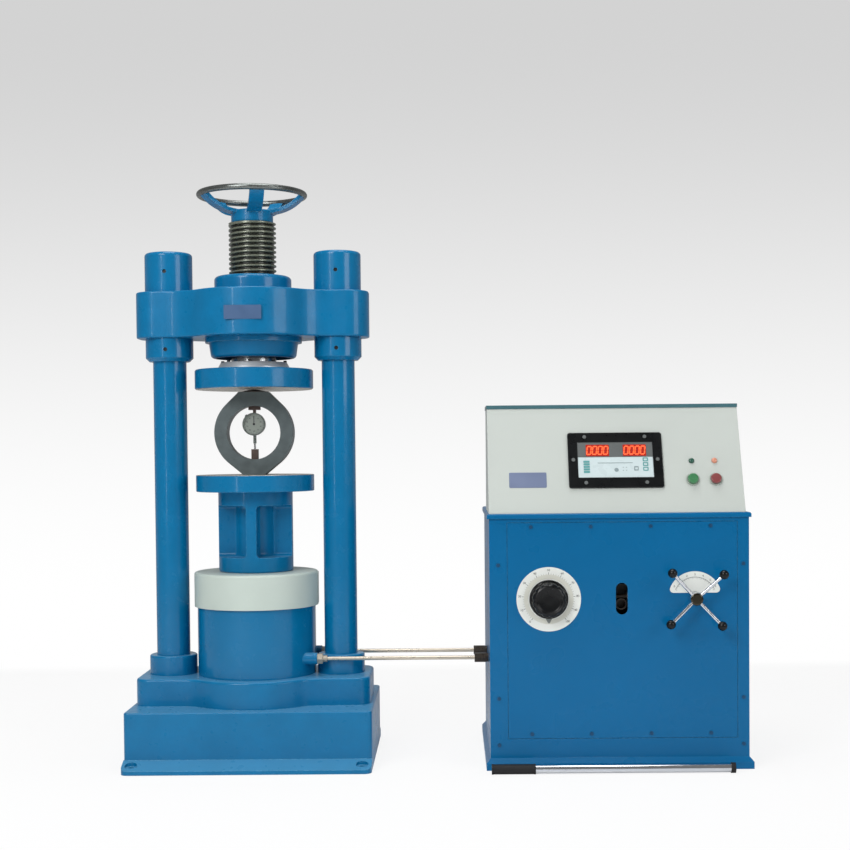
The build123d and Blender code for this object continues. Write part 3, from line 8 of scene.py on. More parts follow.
import bmesh
import bpy
import numpy as np
from bpy.props import FloatProperty, FloatVectorProperty, IntProperty, PointerProperty, StringProperty
from bpy.types import Operator, Panel, PropertyGroup
from mathutils import Matrix, Vector


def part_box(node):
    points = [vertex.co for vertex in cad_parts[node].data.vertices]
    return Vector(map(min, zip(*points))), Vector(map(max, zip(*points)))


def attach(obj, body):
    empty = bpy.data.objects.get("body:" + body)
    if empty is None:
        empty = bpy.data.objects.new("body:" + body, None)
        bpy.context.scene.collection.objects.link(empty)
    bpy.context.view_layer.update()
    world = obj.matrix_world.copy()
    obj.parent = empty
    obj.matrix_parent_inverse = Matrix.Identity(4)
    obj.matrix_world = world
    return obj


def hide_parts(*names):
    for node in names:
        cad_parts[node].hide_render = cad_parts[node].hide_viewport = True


bl_info = {
    "name": "Compression Testing Machine",
    "version": (1, 0, 0),
    "blender": (4, 5, 0),
    "location": "View3D > Sidebar > Machine",
    "description": "Dresses the frame of a compression testing machine",
    "category": "Object",
}

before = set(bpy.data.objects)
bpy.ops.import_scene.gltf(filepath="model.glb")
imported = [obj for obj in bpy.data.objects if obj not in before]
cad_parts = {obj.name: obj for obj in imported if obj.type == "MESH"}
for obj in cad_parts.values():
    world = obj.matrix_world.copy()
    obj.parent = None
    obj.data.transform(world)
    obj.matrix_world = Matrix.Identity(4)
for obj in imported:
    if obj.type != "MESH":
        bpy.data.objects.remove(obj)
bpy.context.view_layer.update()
# The backdrop: the floor's share of plain white, how bright its reflection is, where its grey is full.
FLOOR_SHARE = 0.86
MIRRORED = 0.4
FADE_HEIGHT = 3.2
# How strongly the sky lights the machine.
SKY = 0.22
# How far the console's face leans back.
LEAN = radians(24)
# How far the screen stands off the console's slope, and where the gauge's printed face lies in y.
SCREEN_FACE = 0.0045
GAUGE_FACE = -0.014
# Size of the type whose figures are one unit high.
TYPE_SIZE = 1.4
# Points nearer than this become one, shorter edges than this go, and sharper turns than this stay.
MERGE = 1e-7
SLIVER = 1e-8
SHARP = radians(35)
# Most values of a noise lie between these two.
NOISE_LOW, NOISE_HIGH = 0.3, 0.7
WHITE = (1.0, 1.0, 1.0)
# Every finish made so far, by its name.
FINISHES = {}


def corner(node, axis, end):
    """One coordinate of a node's box, in metres: axis 0 to 2, end 0 low or 1 high."""
    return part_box(node)[end][axis]


# Places: each matrix carries a flat drawing (x right, y up, z out of the face) onto a face.


def facing(origin, across, up):
    """Matrix whose columns are the drawing's right, its up, and right x up, at origin."""
    across = Vector(across).normalized()
    up = Vector(up).normalized()
    out = across.cross(up)
    place = Matrix((across, up, out)).transposed().to_4x4()
    place.translation = Vector(origin)
    return place


def on_front(x, z, y):
    """A place on an upright face that looks towards the viewer."""
    return facing((x, y, z), (1, 0, 0), (0, 0, 1))


def on_slope(x, rise):
    """A place on the console's sloping face, rise metres up the slope."""
    origin = Vector((0, corner("console_shell", 1, 0), corner("console_shell", 2, 0)))
    up = Vector((0, sin(LEAN), cos(LEAN)))
    return facing(origin + Vector((x, 0, 0)) + up * rise, (1, 0, 0), up)


# Surfaces: each returns (points, faces).


def skin(points, loop_rows=False, ends=False):
    """Quads between neighbours of a rows x columns grid of points that closes round its columns."""
    rows, columns = points.shape[:2]
    index = np.arange(rows * columns).reshape(rows, columns)
    if loop_rows:
        index = np.vstack([index, index[:1]])
    nearby = np.roll(index, -1, axis=1)
    quads = np.stack([index[:-1], nearby[:-1], nearby[1:], index[1:]], axis=-1).reshape(-1, 4)
    faces = quads.tolist()
    if ends:
        faces += [index[0][::-1].tolist(), index[-1].tolist()]
    return points.reshape(-1, 3), faces


def prism(outline, low, high, soft=0.0):
    """An outline carried up z from low to high, drawn in by soft at both edges."""
    outline = np.asarray(outline, dtype=float)
    before, after = np.roll(outline, 1, axis=0), np.roll(outline, -1, axis=0)
    run = after - before
    run /= np.maximum(np.linalg.norm(run, axis=1, keepdims=True), 1e-12)
    inward = np.stack([-run[:, 1], run[:, 0]], axis=1)
    steps = [(0.0, low), (0.0, high)]
    if soft:
        steps = [(soft, low), (0.0, low + soft), (0.0, high - soft), (soft, high)]
    count = len(outline)
    rows = [np.column_stack([outline + inward * draw, np.full(count, level)]) for draw, level in steps]
    return skin(np.stack(rows), ends=True)


def rectangle(width, height, radius, steps=6):
    """Outline of a rectangle with round corners: a quarter circle about each corner's centre."""
    turn = np.linspace(0, pi / 2, steps)
    spots = [(1, 1, 0), (-1, 1, 1), (-1, -1, 2), (1, -1, 3)]
    arcs = []
    for right, up, quarter in spots:
        angle = turn + quarter * pi / 2
        centre = np.array([right * (width / 2 - radius), up * (height / 2 - radius)])
        arcs.append(centre + radius * np.stack([np.cos(angle), np.sin(angle)], axis=1))
    return np.concatenate(arcs)


def disc(radius, steps=48):
    """Outline of a circle."""
    angle = np.linspace(0, tau, steps, endpoint=False)
    return radius * np.stack([np.cos(angle), np.sin(angle)], axis=1)


def band(inner, outer, start, end, steps=48):
    """Outline of a strip of a ring, from angle start to end, counter-clockwise from the right."""
    angle = np.linspace(start, end, steps)
    rim = outer * np.stack([np.cos(angle), np.sin(angle)], axis=1)
    bore = inner * np.stack([np.cos(angle[::-1]), np.sin(angle[::-1])], axis=1)
    return np.concatenate([rim, bore])


def moved(surface, place):
    """A surface carried by a matrix."""
    points, faces = surface
    matrix = np.array(place)
    return points @ matrix[:3, :3].T + matrix[:3, 3], faces


def joined(surfaces):
    """Several surfaces as one."""
    points, faces, first = [], [], 0
    for spots, loops in surfaces:
        points.append(spots)
        faces += [[first + corner_index for corner_index in loop] for loop in loops]
        first += len(spots)
    return np.concatenate(points), faces


def number(text, height, thick):
    """A plain number as a flat plate of that height, centred on the origin."""
    curve = bpy.data.curves.new("number", "FONT")
    curve.body = text
    curve.size = height * TYPE_SIZE
    curve.align_x = "CENTER"
    curve.align_y = "CENTER"
    curve.extrude = thick / 2
    curve.resolution_u = 3
    holder = bpy.data.objects.new("number", curve)
    mesh = bpy.data.meshes.new_from_object(holder)
    points = np.array([tuple(spot.co) for spot in mesh.vertices])
    faces = [list(face.vertices) for face in mesh.polygons]
    bpy.data.objects.remove(holder)
    bpy.data.curves.remove(curve)
    bpy.data.meshes.remove(mesh)
    points[:, 2] += thick / 2
    return points, faces


def ticks(angles, every, long, short, corners, low, high):
    """Marks round a dial: long at every so many angles and short between. Each kind is its length,
    width and distance from the middle. corners are the radius and the steps of a mark's corners."""
    bars = []
    for place, angle in enumerate(angles):
        length, width, away = short if place % every else long
        turn = Matrix.Rotation(angle, 4, "Z") @ Matrix.Translation((away, 0, 0))
        bars.append(moved(prism(rectangle(length, width, *corners), low, high), turn))
    return bars


def figures(values, angles, away, height, thick, level=0.0):
    """Plain numbers round a dial, each at its angle and all at one distance from the middle."""
    plates = []
    for value, angle in zip(values, angles):
        spot = Matrix.Translation((away * cos(angle), away * sin(angle), level))
        plates.append(moved(number(str(value), height, thick), spot))
    return plates


def smooth(mesh):
    """Shade every face of a mesh smooth."""
    mesh.polygons.foreach_set("use_smooth", np.ones(len(mesh.polygons), dtype=bool))


def make(name, surface, body, material, swaps=()):
    """Add a finished piece: merged, facing outwards, shaded smooth between its sharp edges."""
    points, faces = surface
    mesh = bpy.data.meshes.new(name)
    mesh.from_pydata(points.tolist(), [], faces)
    shape = bmesh.new()
    shape.from_mesh(mesh)
    bmesh.ops.remove_doubles(shape, verts=shape.verts, dist=MERGE)
    bmesh.ops.dissolve_degenerate(shape, edges=shape.edges, dist=SLIVER)
    bmesh.ops.recalc_face_normals(shape, faces=shape.faces)
    shape.to_mesh(mesh)
    shape.free()
    smooth(mesh)
    mesh.set_sharp_from_angle(angle=SHARP)
    mesh.materials.append(material)
    piece = bpy.data.objects.new(name, mesh)
    bpy.context.scene.collection.objects.link(piece)
    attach(piece, body)
    if swaps:
        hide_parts(*swaps)


# Finishes: every one reads Object coordinates, so that grain has its real scale.


def srgb(red, green, blue):
    """A colour of 0 to 255 screen values as the linear values that shaders use."""
    parts = np.array([red, green, blue]) / 255.0
    return tuple(np.where(parts <= 0.04045, parts / 12.92, ((parts + 0.055) / 1.055) ** 2.4).tolist())


def shade(colour, amount):
    """A colour made lighter or darker by a factor, as four values."""
    return tuple(min(1.0, part * amount) for part in tuple(colour)[:3]) + (1.0,)


def add(tree, kind, values=(), links=(), **settings):
    """A shader node with its options, its sockets' values and what is linked to them."""
    item = tree.nodes.new("ShaderNode" + kind)
    for key, value in settings.items():
        setattr(item, key, value)
    for key, value in dict(values).items():
        item.inputs[key].default_value = value
    for key, source in dict(links).items():
        tree.links.new(source, item.inputs[key])
    return item


def blend(tree, factor, first, second):
    """A colour between first and second: each is a colour or a socket."""
    mix = add(tree, "Mix", data_type="RGBA")
    for key, value in ((0, factor), (6, first), (7, second)):
        if isinstance(value, (tuple, float)):
            mix.inputs[key].default_value = value
        else:
            tree.links.new(value, mix.inputs[key])
    return mix.outputs[2]


def fit(tree, source, low, high, new_low, new_high):
    """A value carried from one range to another and held inside it."""
    reach = {1: low, 2: high, 3: new_low, 4: new_high}
    return add(tree, "MapRange", reach, {0: source}).outputs[0]


def noise(tree, coordinates, size, detail=3.0, stretch=(1.0, 1.0, 1.0)):
    """Cloudy values with features of about that size in metres, longer along a stretched axis."""
    scaled = add(tree, "Mapping", {"Scale": stretch}, {"Vector": coordinates})
    texture = add(tree, "TexNoise", {"Scale": 1.0 / size, "Detail": detail}, {"Vector": scaled.outputs[0]})
    return texture.outputs[0]


def ring_marks(tree, place, axis, values):
    """Cutting marks that run round an axis."""
    wave = add(tree, "TexWave", values, {"Vector": place}, wave_type="RINGS", rings_direction=axis)
    return wave.outputs["Fac"]


def rubbed(tree, base, place, soft, edge_tone, amount):
    """Another colour in patches along the edges, where the rounded normal leaves the facet's own: a
    painted edge highlight where that colour is a paler tone of the surface, and wear where it is bare
    steel.
    """
    facet = add(tree, "NewGeometry").outputs["Normal"]
    agree = add(tree, "VectorMath", (), {0: soft, 1: facet}, operation="DOT_PRODUCT").outputs["Value"]
    patchy = fit(tree, noise(tree, place, 0.006, 5.0), 0.4, 0.62, 0.1, 1.0)
    at_edge = fit(tree, agree, 0.985, 0.8, 0.0, amount)
    wear_and_highlight = add(tree, "Math", (), {0: at_edge, 1: patchy}, operation="MULTIPLY").outputs[0]
    return blend(tree, wear_and_highlight, base, shade(edge_tone, 1.0))


def dusted(tree, base, amount):
    """Painted highlight: a pale blue where the surface faces up, standing in for light from above."""
    normal = add(tree, "NewGeometry").outputs["Normal"]
    upward = add(tree, "SeparateXYZ", (), {0: normal}).outputs[2]
    # How much painted top light each face gets, by how nearly it faces up.
    top_light_share = fit(tree, upward, 0.75, 1.0, 0.0, amount)
    return blend(tree, top_light_share, base, shade(srgb(136, 198, 232), 1.0))


def machined(tree, base, place, faced, metal):
    """The colour and the share of metal with a ground face beyond a height."""
    bare, height, above = faced
    level = add(tree, "SeparateXYZ", (), {0: place}).outputs[2]
    step = 0.0001 if above else -0.0001
    on_face = fit(tree, level, height - step, height + step, 0.0, 1.0)
    marks = ring_marks(tree, place, "Z", {"Scale": 320.0, "Distortion": 0.4, "Detail": 1.0})
    ground = blend(tree, fit(tree, marks, 0.0, 1.0, 0.0, 1.0), shade(bare, 0.86), shade(bare, 1.05))
    return blend(tree, on_face, base, ground), fit(tree, on_face, 0.0, 1.0, metal, 0.4)


def finish(
    name, colour, rough=0.4, metal=0.0, coat=0.0, specular=0.5, tint=0.06, tint_size=0.09, spread=0.06,
    grain=0.00006, grain_size=0.002, stretch=(1.0, 1.0, 1.0), lathe="", edge=0.0008, edge_tone=None,
    edge_tone_amount=0.5, dust=0.0, faced=None, sockets=(),
):
    """A finish whose colour drifts with cloud noise, whose relief is fine grain or lathe rings,
    and whose edges are rounded in the light and given another colour in patches along them: a
    painted edge highlight where that colour is a paler tone of the surface, and wear where it is
    bare steel. dust paints a pale blue highlight on what faces up, standing in for light from
    above. faced is (colour, height, True where the machined face lies above it)."""
    material = bpy.data.materials.new(name)
    material.use_nodes = True
    tree = material.node_tree
    shader = tree.nodes["Principled BSDF"]
    place = add(tree, "TexCoord").outputs["Object"]
    cloud = fit(tree, noise(tree, place, tint_size), NOISE_LOW, NOISE_HIGH, 0.0, 1.0)
    fine = noise(tree, place, grain_size, 4.0, stretch)
    base = blend(tree, cloud, shade(colour, 1.0 - tint), shade(colour, 1.0 + tint))
    pits = fit(tree, fine, 0.35, 0.75, 0.0, 0.35)
    base = blend(tree, pits, base, shade(colour, 1.0 - tint * 2.0))
    patches = noise(tree, place, tint_size * 0.35)
    gloss = fit(tree, patches, NOISE_LOW, NOISE_HIGH, max(rough - spread, 0.02), rough + spread)
    relief = fine
    if lathe:
        turning = {"Scale": 900.0, "Distortion": 0.6, "Detail": 2.0, "Detail Scale": 0.4}
        relief = ring_marks(tree, place, lathe, turning)
        base = blend(tree, fit(tree, relief, 0.0, 1.0, 0.0, 0.3), base, shade(colour, 0.8))
    soft = add(tree, "Bevel", {"Radius": edge}, samples=4).outputs[0]
    # Patches along the edges: a painted highlight where the colour is a paler tone, wear where it is bare
    # steel.
    if edge_tone:
        base = rubbed(tree, base, place, soft, edge_tone, edge_tone_amount)
    # Painted highlight on what faces up, standing in for light from above.
    if dust:
        base = dusted(tree, base, dust)
    shader.inputs["Metallic"].default_value = metal
    if faced:
        base, share = machined(tree, base, place, faced, metal)
        tree.links.new(share, shader.inputs["Metallic"])
    bump = add(tree, "Bump", {"Strength": 0.6, "Distance": grain}, {"Height": relief, "Normal": soft})
    tree.links.new(base, shader.inputs["Base Color"])
    tree.links.new(gloss, shader.inputs["Roughness"])
    tree.links.new(bump.outputs[0], shader.inputs["Normal"])
    shader.inputs["Specular IOR Level"].default_value = specular
    shader.inputs["Coat Weight"].default_value = coat
    shader.inputs["Coat Roughness"].default_value = 0.08
    for key, value in dict(sockets).items():
        shader.inputs[key].default_value = value
    FINISHES[name] = material
    return material


def along(tree, axis, low, high):
    """A value that goes from 0 to 1 as the place on that axis goes from low to high."""
    place = add(tree, "TexCoord").outputs["Object"]
    return fit(tree, add(tree, "SeparateXYZ", (), {0: place}).outputs[axis], low, high, 0.0, 1.0)


def round_axis(tree, across, centre, inner, outer):
    """A value from 0 at the inner radius to 1 at the outer one. across is 0 along the axis and 1
    elsewhere."""
    place = add(tree, "TexCoord").outputs["Object"]
    flat = add(tree, "Mapping", {"Scale": across}, {"Vector": place}).outputs[0]
    away = add(tree, "VectorMath", {1: centre}, {0: flat}, operation="DISTANCE").outputs["Value"]
    return fit(tree, away, inner, outer, 0.0, 1.0)


def recolour(name, first, second, measure, *reach):
    """Give a finish one of two colours by its place: measure is along or round_axis, reach its values."""
    tree = FINISHES[name].node_tree
    colour = blend(tree, measure(tree, *reach), shade(first, 1.0), shade(second, 1.0))
    tree.links.new(colour, tree.nodes["Principled BSDF"].inputs["Base Color"])


def tone(label, text, red, green, blue):
    """A colour setting."""
    start = srgb(red, green, blue)
    return FloatVectorProperty(
        name=label, description=text, default=start, subtype="COLOR", min=0.0, max=1.0
    )


def size(label, text, value):
    """A length setting in metres."""
    return FloatProperty(name=label, description=text, default=value, unit="LENGTH", min=0.0, precision=5)


class MACHINE_PG_colours(PropertyGroup):
    """The colours of the machine's finishes."""

    enamel: tone("Cabinet enamel", "Blue gloss paint of the sheet metal", 0, 98, 149)
    casting: tone("Casting enamel", "Blue gloss paint of the castings", 4, 109, 157)
    cream: tone("Console enamel", "Pale paint of the console", 186, 192, 187)
    cap: tone("Dust cap enamel", "Pale paint of the dust cap", 190, 202, 194)
    teal: tone("Lid enamel", "Dark paint of the console lid", 62, 104, 112)
    steel: tone("Bright steel", "Ground and turned steel", 178, 180, 182)
    thread: tone("Thread steel", "Oiled steel of the load screw", 118, 122, 108)
    ring: tone("Ring steel", "Grey finish of the proving ring", 92, 102, 104)
    bare: tone("Platen face", "Bare ground face of the platens", 182, 174, 160)
    rim: tone("Wheel rim", "Worn plated rim of the handwheel", 116, 120, 118)
    black: tone("Black plastic", "Knobs, grips and frame of the display", 7, 9, 11)
    dial: tone("Dial plate", "White enamelled dials", 226, 229, 224)
    mark: tone("Dial marks", "Dark marks on the dials", 34, 40, 46)
    start: tone("Start key", "Green push button", 60, 122, 78)
    stop: tone("Stop key", "Red push button", 128, 62, 62)
    glow: tone("Readout", "Lit segments of the readouts", 255, 92, 48)


class MACHINE_PG_sizes(PropertyGroup):
    """The sizes of the fine pieces."""

    pitch: size("Thread pitch", "Rise of the load screw in one turn", 0.012)
    thread_depth: size("Thread depth", "Height of the load screw's ridge", 0.0055)
    flute_depth: size("Flute depth", "Depth of the hollows round the rate knob", 0.0022)
    flutes: IntProperty(name="Flutes", description="Hollows round the rate knob", default=12, min=3)
    mark_height: size("Mark height", "How far printed marks stand off a plate", 0.0003)
    digit_height: size("Digit height", "Height of a readout digit", 0.021)
    left_reading: StringProperty(
        name="Left reading", description="Number on the left readout", default="0000"
    )
    right_reading: StringProperty(
        name="Right reading", description="Number on the right readout", default="0000"
    )


class MACHINE_OT_finishes(Operator):
    """Give every carried-over solid its finish"""

    bl_idname = "machine.finishes"
    bl_label = "Finishes"

    def execute(self, context):
        left = set(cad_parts)
        for name, colour, nodes, settings in self.looks(context.scene.machine_colours):
            material = finish(name, colour, **settings)
            for node in nodes.split():
                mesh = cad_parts[node].data
                for place in range(len(mesh.materials)):
                    mesh.materials[place] = material
                smooth(mesh)
                left.discard(node)
        if left:
            raise RuntimeError("no finish for " + ", ".join(sorted(left)))
        self.two_tone()
        return {"FINISHED"}

    def looks(self, tones):
        """Each finish's name, colour, nodes and settings."""
        # paint is the pale blue of a painted edge highlight on the blue and teal enamels; steel shows at
        # the platens' worn edges.
        paint, steel, bare = srgb(118, 186, 222), tones.steel[:], tones.bare[:]
        platen = dict(
            rough=0.28, coat=0.24, specular=0.2, grain=0.00005, edge=0.0012, edge_tone=steel, edge_tone_amount=0.6,
        )
        reach = 0.0009
        upper = dict(platen, faced=(bare, corner("upper_platen", 2, 0) + reach, False))
        lower = dict(platen, faced=(bare, corner("lower_platen", 2, 1) - reach, True))
        return (
            # Painted highlight in pale blue along the edges of the sheet metal.
            ("enamel_sheet", tones.enamel, "cabinet_shell front_panel rear_panel deck", dict(
                rough=0.3, coat=0.16, specular=0.16, tint=0.05, tint_size=0.3, grain=0.00005,
                edge=0.0018, edge_tone=paint, edge_tone_amount=0.45,
            )),
            # Painted highlights in pale blue along the edges and on what faces up.
            ("enamel_casting", tones.casting, "base crosshead pedestal handwheel screw_nut", dict(
                rough=0.32, coat=0.2, specular=0.2, tint=0.07, tint_size=0.06, grain=0.00018,
                grain_size=0.006, edge=0.003, edge_tone=paint, edge_tone_amount=0.75, dust=0.28,
            )),
            # Painted highlights in pale blue along the edges and on what faces up, as on the castings.
            ("enamel_turned", tones.casting,
             "column_left column_right foot_nuts crosshead_nuts nut_lock_ring cylinder", dict(
                 rough=0.24, coat=0.3, specular=0.2, tint=0.05, grain=0.00004, grain_size=0.003,
                 edge=0.002, edge_tone=paint, edge_tone_amount=0.6, dust=0.28,
             )),
            ("platen_upper", tones.casting, "upper_platen", upper),
            ("platen_lower", tones.casting, "lower_platen", lower),
            # Painted highlight in a paler cream along the edges.
            ("cream_enamel", tones.cream, "console_shell", dict(
                rough=0.42, coat=0.1, specular=0.3, tint=0.025, tint_size=0.2, grain=0.00009,
                grain_size=0.0016, edge=0.002, edge_tone=srgb(236, 240, 234),
            )),
            ("cap_enamel", tones.cap, "dust_cap", dict(rough=0.4, tint=0.03, edge=0.0012)),
            # Painted highlight in pale blue along the edges.
            ("teal_enamel", tones.teal, "console_lid", dict(
                rough=0.34, coat=0.3, edge=0.0012, edge_tone=paint,
            )),
            ("bright_steel", tones.steel, "ball_seat ram gauge_spindle screw_spindle", dict(
                rough=0.24, metal=1.0, tint=0.05, grain=0.00003, lathe="Z",
            )),
            ("ring_steel", tones.ring, "proving_ring", dict(
                rough=0.4, metal=0.55, tint=0.14, tint_size=0.03, grain=0.00007, grain_size=0.0013,
                stretch=(1.0, 0.15, 1.0), edge=0.0016, edge_tone=srgb(150, 160, 160),
            )),
            ("rim_plate", tones.rim, "handwheel_rim", dict(
                rough=0.3, metal=0.9, tint=0.14, tint_size=0.05, spread=0.1, grain=0.00002,
                grain_size=0.004,
            )),
            ("black_moulding", tones.black, "rate_knob star_balls display_bezel cable_gland", dict(
                rough=0.3, coat=0.1, specular=0.25, tint=0.12, grain=0.00003, grain_size=0.001,
                edge=0.0009,
            )),
            ("rubber", srgb(30, 30, 32), "handle_grip ram_seal", dict(
                rough=0.62, specular=0.3, tint=0.15, grain=0.00012,
            )),
            ("black_screws", srgb(44, 46, 50), "seat_bolts set_screws", dict(
                rough=0.38, metal=0.7, tint=0.2, tint_size=0.01, grain=0.00003, edge=0.0004,
            )),
            ("painted_screws", WHITE, "panel_screws", dict(
                rough=0.4, metal=0.3, tint=0.05, grain=0.00002,
            )),
            ("star_chrome", WHITE, "star_handle", dict(
                rough=0.14, metal=1.0, tint=0.03, spread=0.04, grain=0.00001,
            )),
            ("anvil_steel", srgb(84, 70, 66), "gauge_mounts bearing_pad", dict(
                rough=0.42, metal=0.5, tint=0.12, tint_size=0.01, grain=0.00004,
            )),
            ("satin_ring", srgb(186, 196, 186), "button_collars", dict(
                rough=0.34, metal=0.6, tint=0.04, grain=0.00002,
            )),
            ("seat_steel", srgb(206, 210, 212), "seat_ring", dict(
                rough=0.36, metal=0.5, tint=0.05, grain=0.00002, edge=0.0004,
            )),
            ("chrome", srgb(214, 216, 220), "pump_handle", dict(
                rough=0.12, metal=1.0, tint=0.03, spread=0.04, grain=0.00001, edge=0.0005,
            )),
            ("pipe_plating", srgb(204, 194, 178), "pressure_pipe return_pipe inner_pipes", dict(
                rough=0.3, metal=0.75, tint=0.05, tint_size=0.05, grain=0.00001, grain_size=0.004,
                edge=0.0004,
            )),
            ("fitting_steel", WHITE, "pipe_nuts", dict(
                rough=0.3, metal=0.5, tint=0.1, tint_size=0.012, grain=0.00003, edge=0.0005,
            )),
            ("dark_fitting", WHITE, "pipe_fittings pump_socket", dict(
                rough=0.34, metal=0.4, tint=0.14, tint_size=0.012, grain=0.00003, edge=0.0005,
            )),
            ("grey_machinery", srgb(118, 124, 126), "oil_tank motor motor_coupling", dict(
                rough=0.46, tint=0.1, grain=0.00014, edge=0.0014,
            )),
            ("cast_block", srgb(110, 112, 112), "pump valve_block", dict(
                rough=0.5, metal=0.5, tint=0.14, grain=0.0002, edge=0.001,
            )),
            ("white_plate", tones.dial, "scale_plates", dict(
                rough=0.34, coat=0.2, tint=0.02, grain=0.00002,
            )),
            ("gauge_case", srgb(120, 128, 124), "gauge_body", dict(
                rough=0.3, metal=0.8, tint=0.08, grain=0.00003, edge=0.0006,
            )),
            ("black_enamel", tones.mark, "gauge_pointer", dict(
                rough=0.45, tint=0.1, grain=0.00001, edge=0.0001,
            )),
            ("green_key", tones.start, "start_button", dict(rough=0.3, coat=0.4, grain=0.00002)),
            ("red_key", tones.stop, "stop_button", dict(rough=0.3, coat=0.4, grain=0.00002)),
            ("lamp_lens", WHITE, "lamps", dict(rough=0.22, coat=0.5, tint=0.02, grain=0.00001)),
            ("gauge_glass", WHITE, "gauge_lens", dict(
                rough=0.05, tint=0.0, spread=0.02, grain=0.0,
                sockets={"Transmission Weight": 1.0, "IOR": 1.46},
            )),
            ("screen_face", srgb(196, 210, 212), "display_screen", dict(
                rough=0.3, tint=0.02, grain=0.00001,
            )),
        )

    def two_tone(self):
        """Finishes with one colour up to a place and another beyond it: a green and an amber lamp,
        blue panel screws below bright ones, fittings that are lighter at the cylinder than at the
        cabinet, and plated arms on a dark hub."""
        middle = (corner("lamps", 0, 0) + corner("lamps", 0, 1)) / 2
        left, right = middle - 0.001, middle + 0.001
        recolour("lamp_lens", srgb(24, 78, 62), srgb(206, 138, 112), along, 0, left, right)
        top = corner("deck", 2, 1)
        recolour("painted_screws", srgb(16, 70, 108), srgb(104, 108, 108), along, 2, top, top + 0.001)
        recolour("fitting_steel", srgb(176, 168, 152), srgb(62, 54, 46), along, 0, 0.4, 0.5)
        recolour("dark_fitting", srgb(168, 160, 146), srgb(46, 40, 34), along, 0, 0.4, 0.5)
        low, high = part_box("star_handle")
        hub = ((low.x + high.x) / 2, 0.0, (low.z + high.z) / 2)
        flat, inner, outer = (1.0, 0.0, 1.0), 0.0150, 0.0154
        recolour("star_chrome", srgb(72, 68, 58), srgb(214, 216, 220), round_axis, flat, hub, inner, outer)


class MACHINE_OT_load_screw(Operator):
    """Cut the thread of the load screw"""

    bl_idname = "machine.load_screw"
    bl_label = "Load Screw"

    def execute(self, context):
        sizes = context.scene.machine_sizes
        depth = sizes.thread_depth
        low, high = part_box("screw_spindle")
        crest = context.scene.machine_colours.thread[:]
        steel = finish(
            "thread_steel", crest, rough=0.26, metal=0.35, tint=0.1, tint_size=0.014, spread=0.1,
            grain=0.00003, edge=0.0006,
        )
        # The roots of the thread are painted dark against the crests: painted shade in the grooves.
        flat, middle = (1.0, 1.0, 0.0), (0.0, 0.0, 0.0)
        inner, outer = high.x - depth * 0.8, high.x - depth * 0.15
        recolour("thread_steel", srgb(40, 42, 37), crest, round_axis, flat, middle, inner, outer)
        plain, lap = 0.030, 0.001
        start, end = low.z + plain, high.z - plain
        body = self.ridge(high.x, start, end, sizes.pitch, depth)
        nose = prism(disc(0.030, 72), low.z, start + lap, lap)
        neck = prism(disc(0.020, 72), end - lap, high.z, lap)
        make(
            "load_screw_thread", joined([body, nose, neck]), "load_screw", steel,
            swaps=("screw_spindle",),
        )
        return {"FINISHED"}

    def ridge(self, crest, start, end, pitch, depth):
        """Radius at height z and angle a: the crest less the depth times a trapezoid wave of
        z / pitch - a / turn, which fades to nothing within one pitch of either end."""
        rows = int((end - start) / pitch * 12)
        height = np.linspace(start, end, rows)[:, None]
        angle = np.linspace(0, tau, 96, endpoint=False)[None, :]
        phase = np.mod(height / pitch - angle / tau, 1.0)
        groove = np.clip((0.5 - np.abs(phase - 0.5)) * 5.0 - 0.75, 0.0, 1.0)
        fade = np.clip(np.minimum(height - start, end - height) / pitch * 2.0, 0.0, 1.0)
        radius = crest - depth * groove * fade
        grid = np.stack([radius * np.cos(angle), radius * np.sin(angle), height + 0 * angle], axis=-1)
        return skin(grid, ends=True)


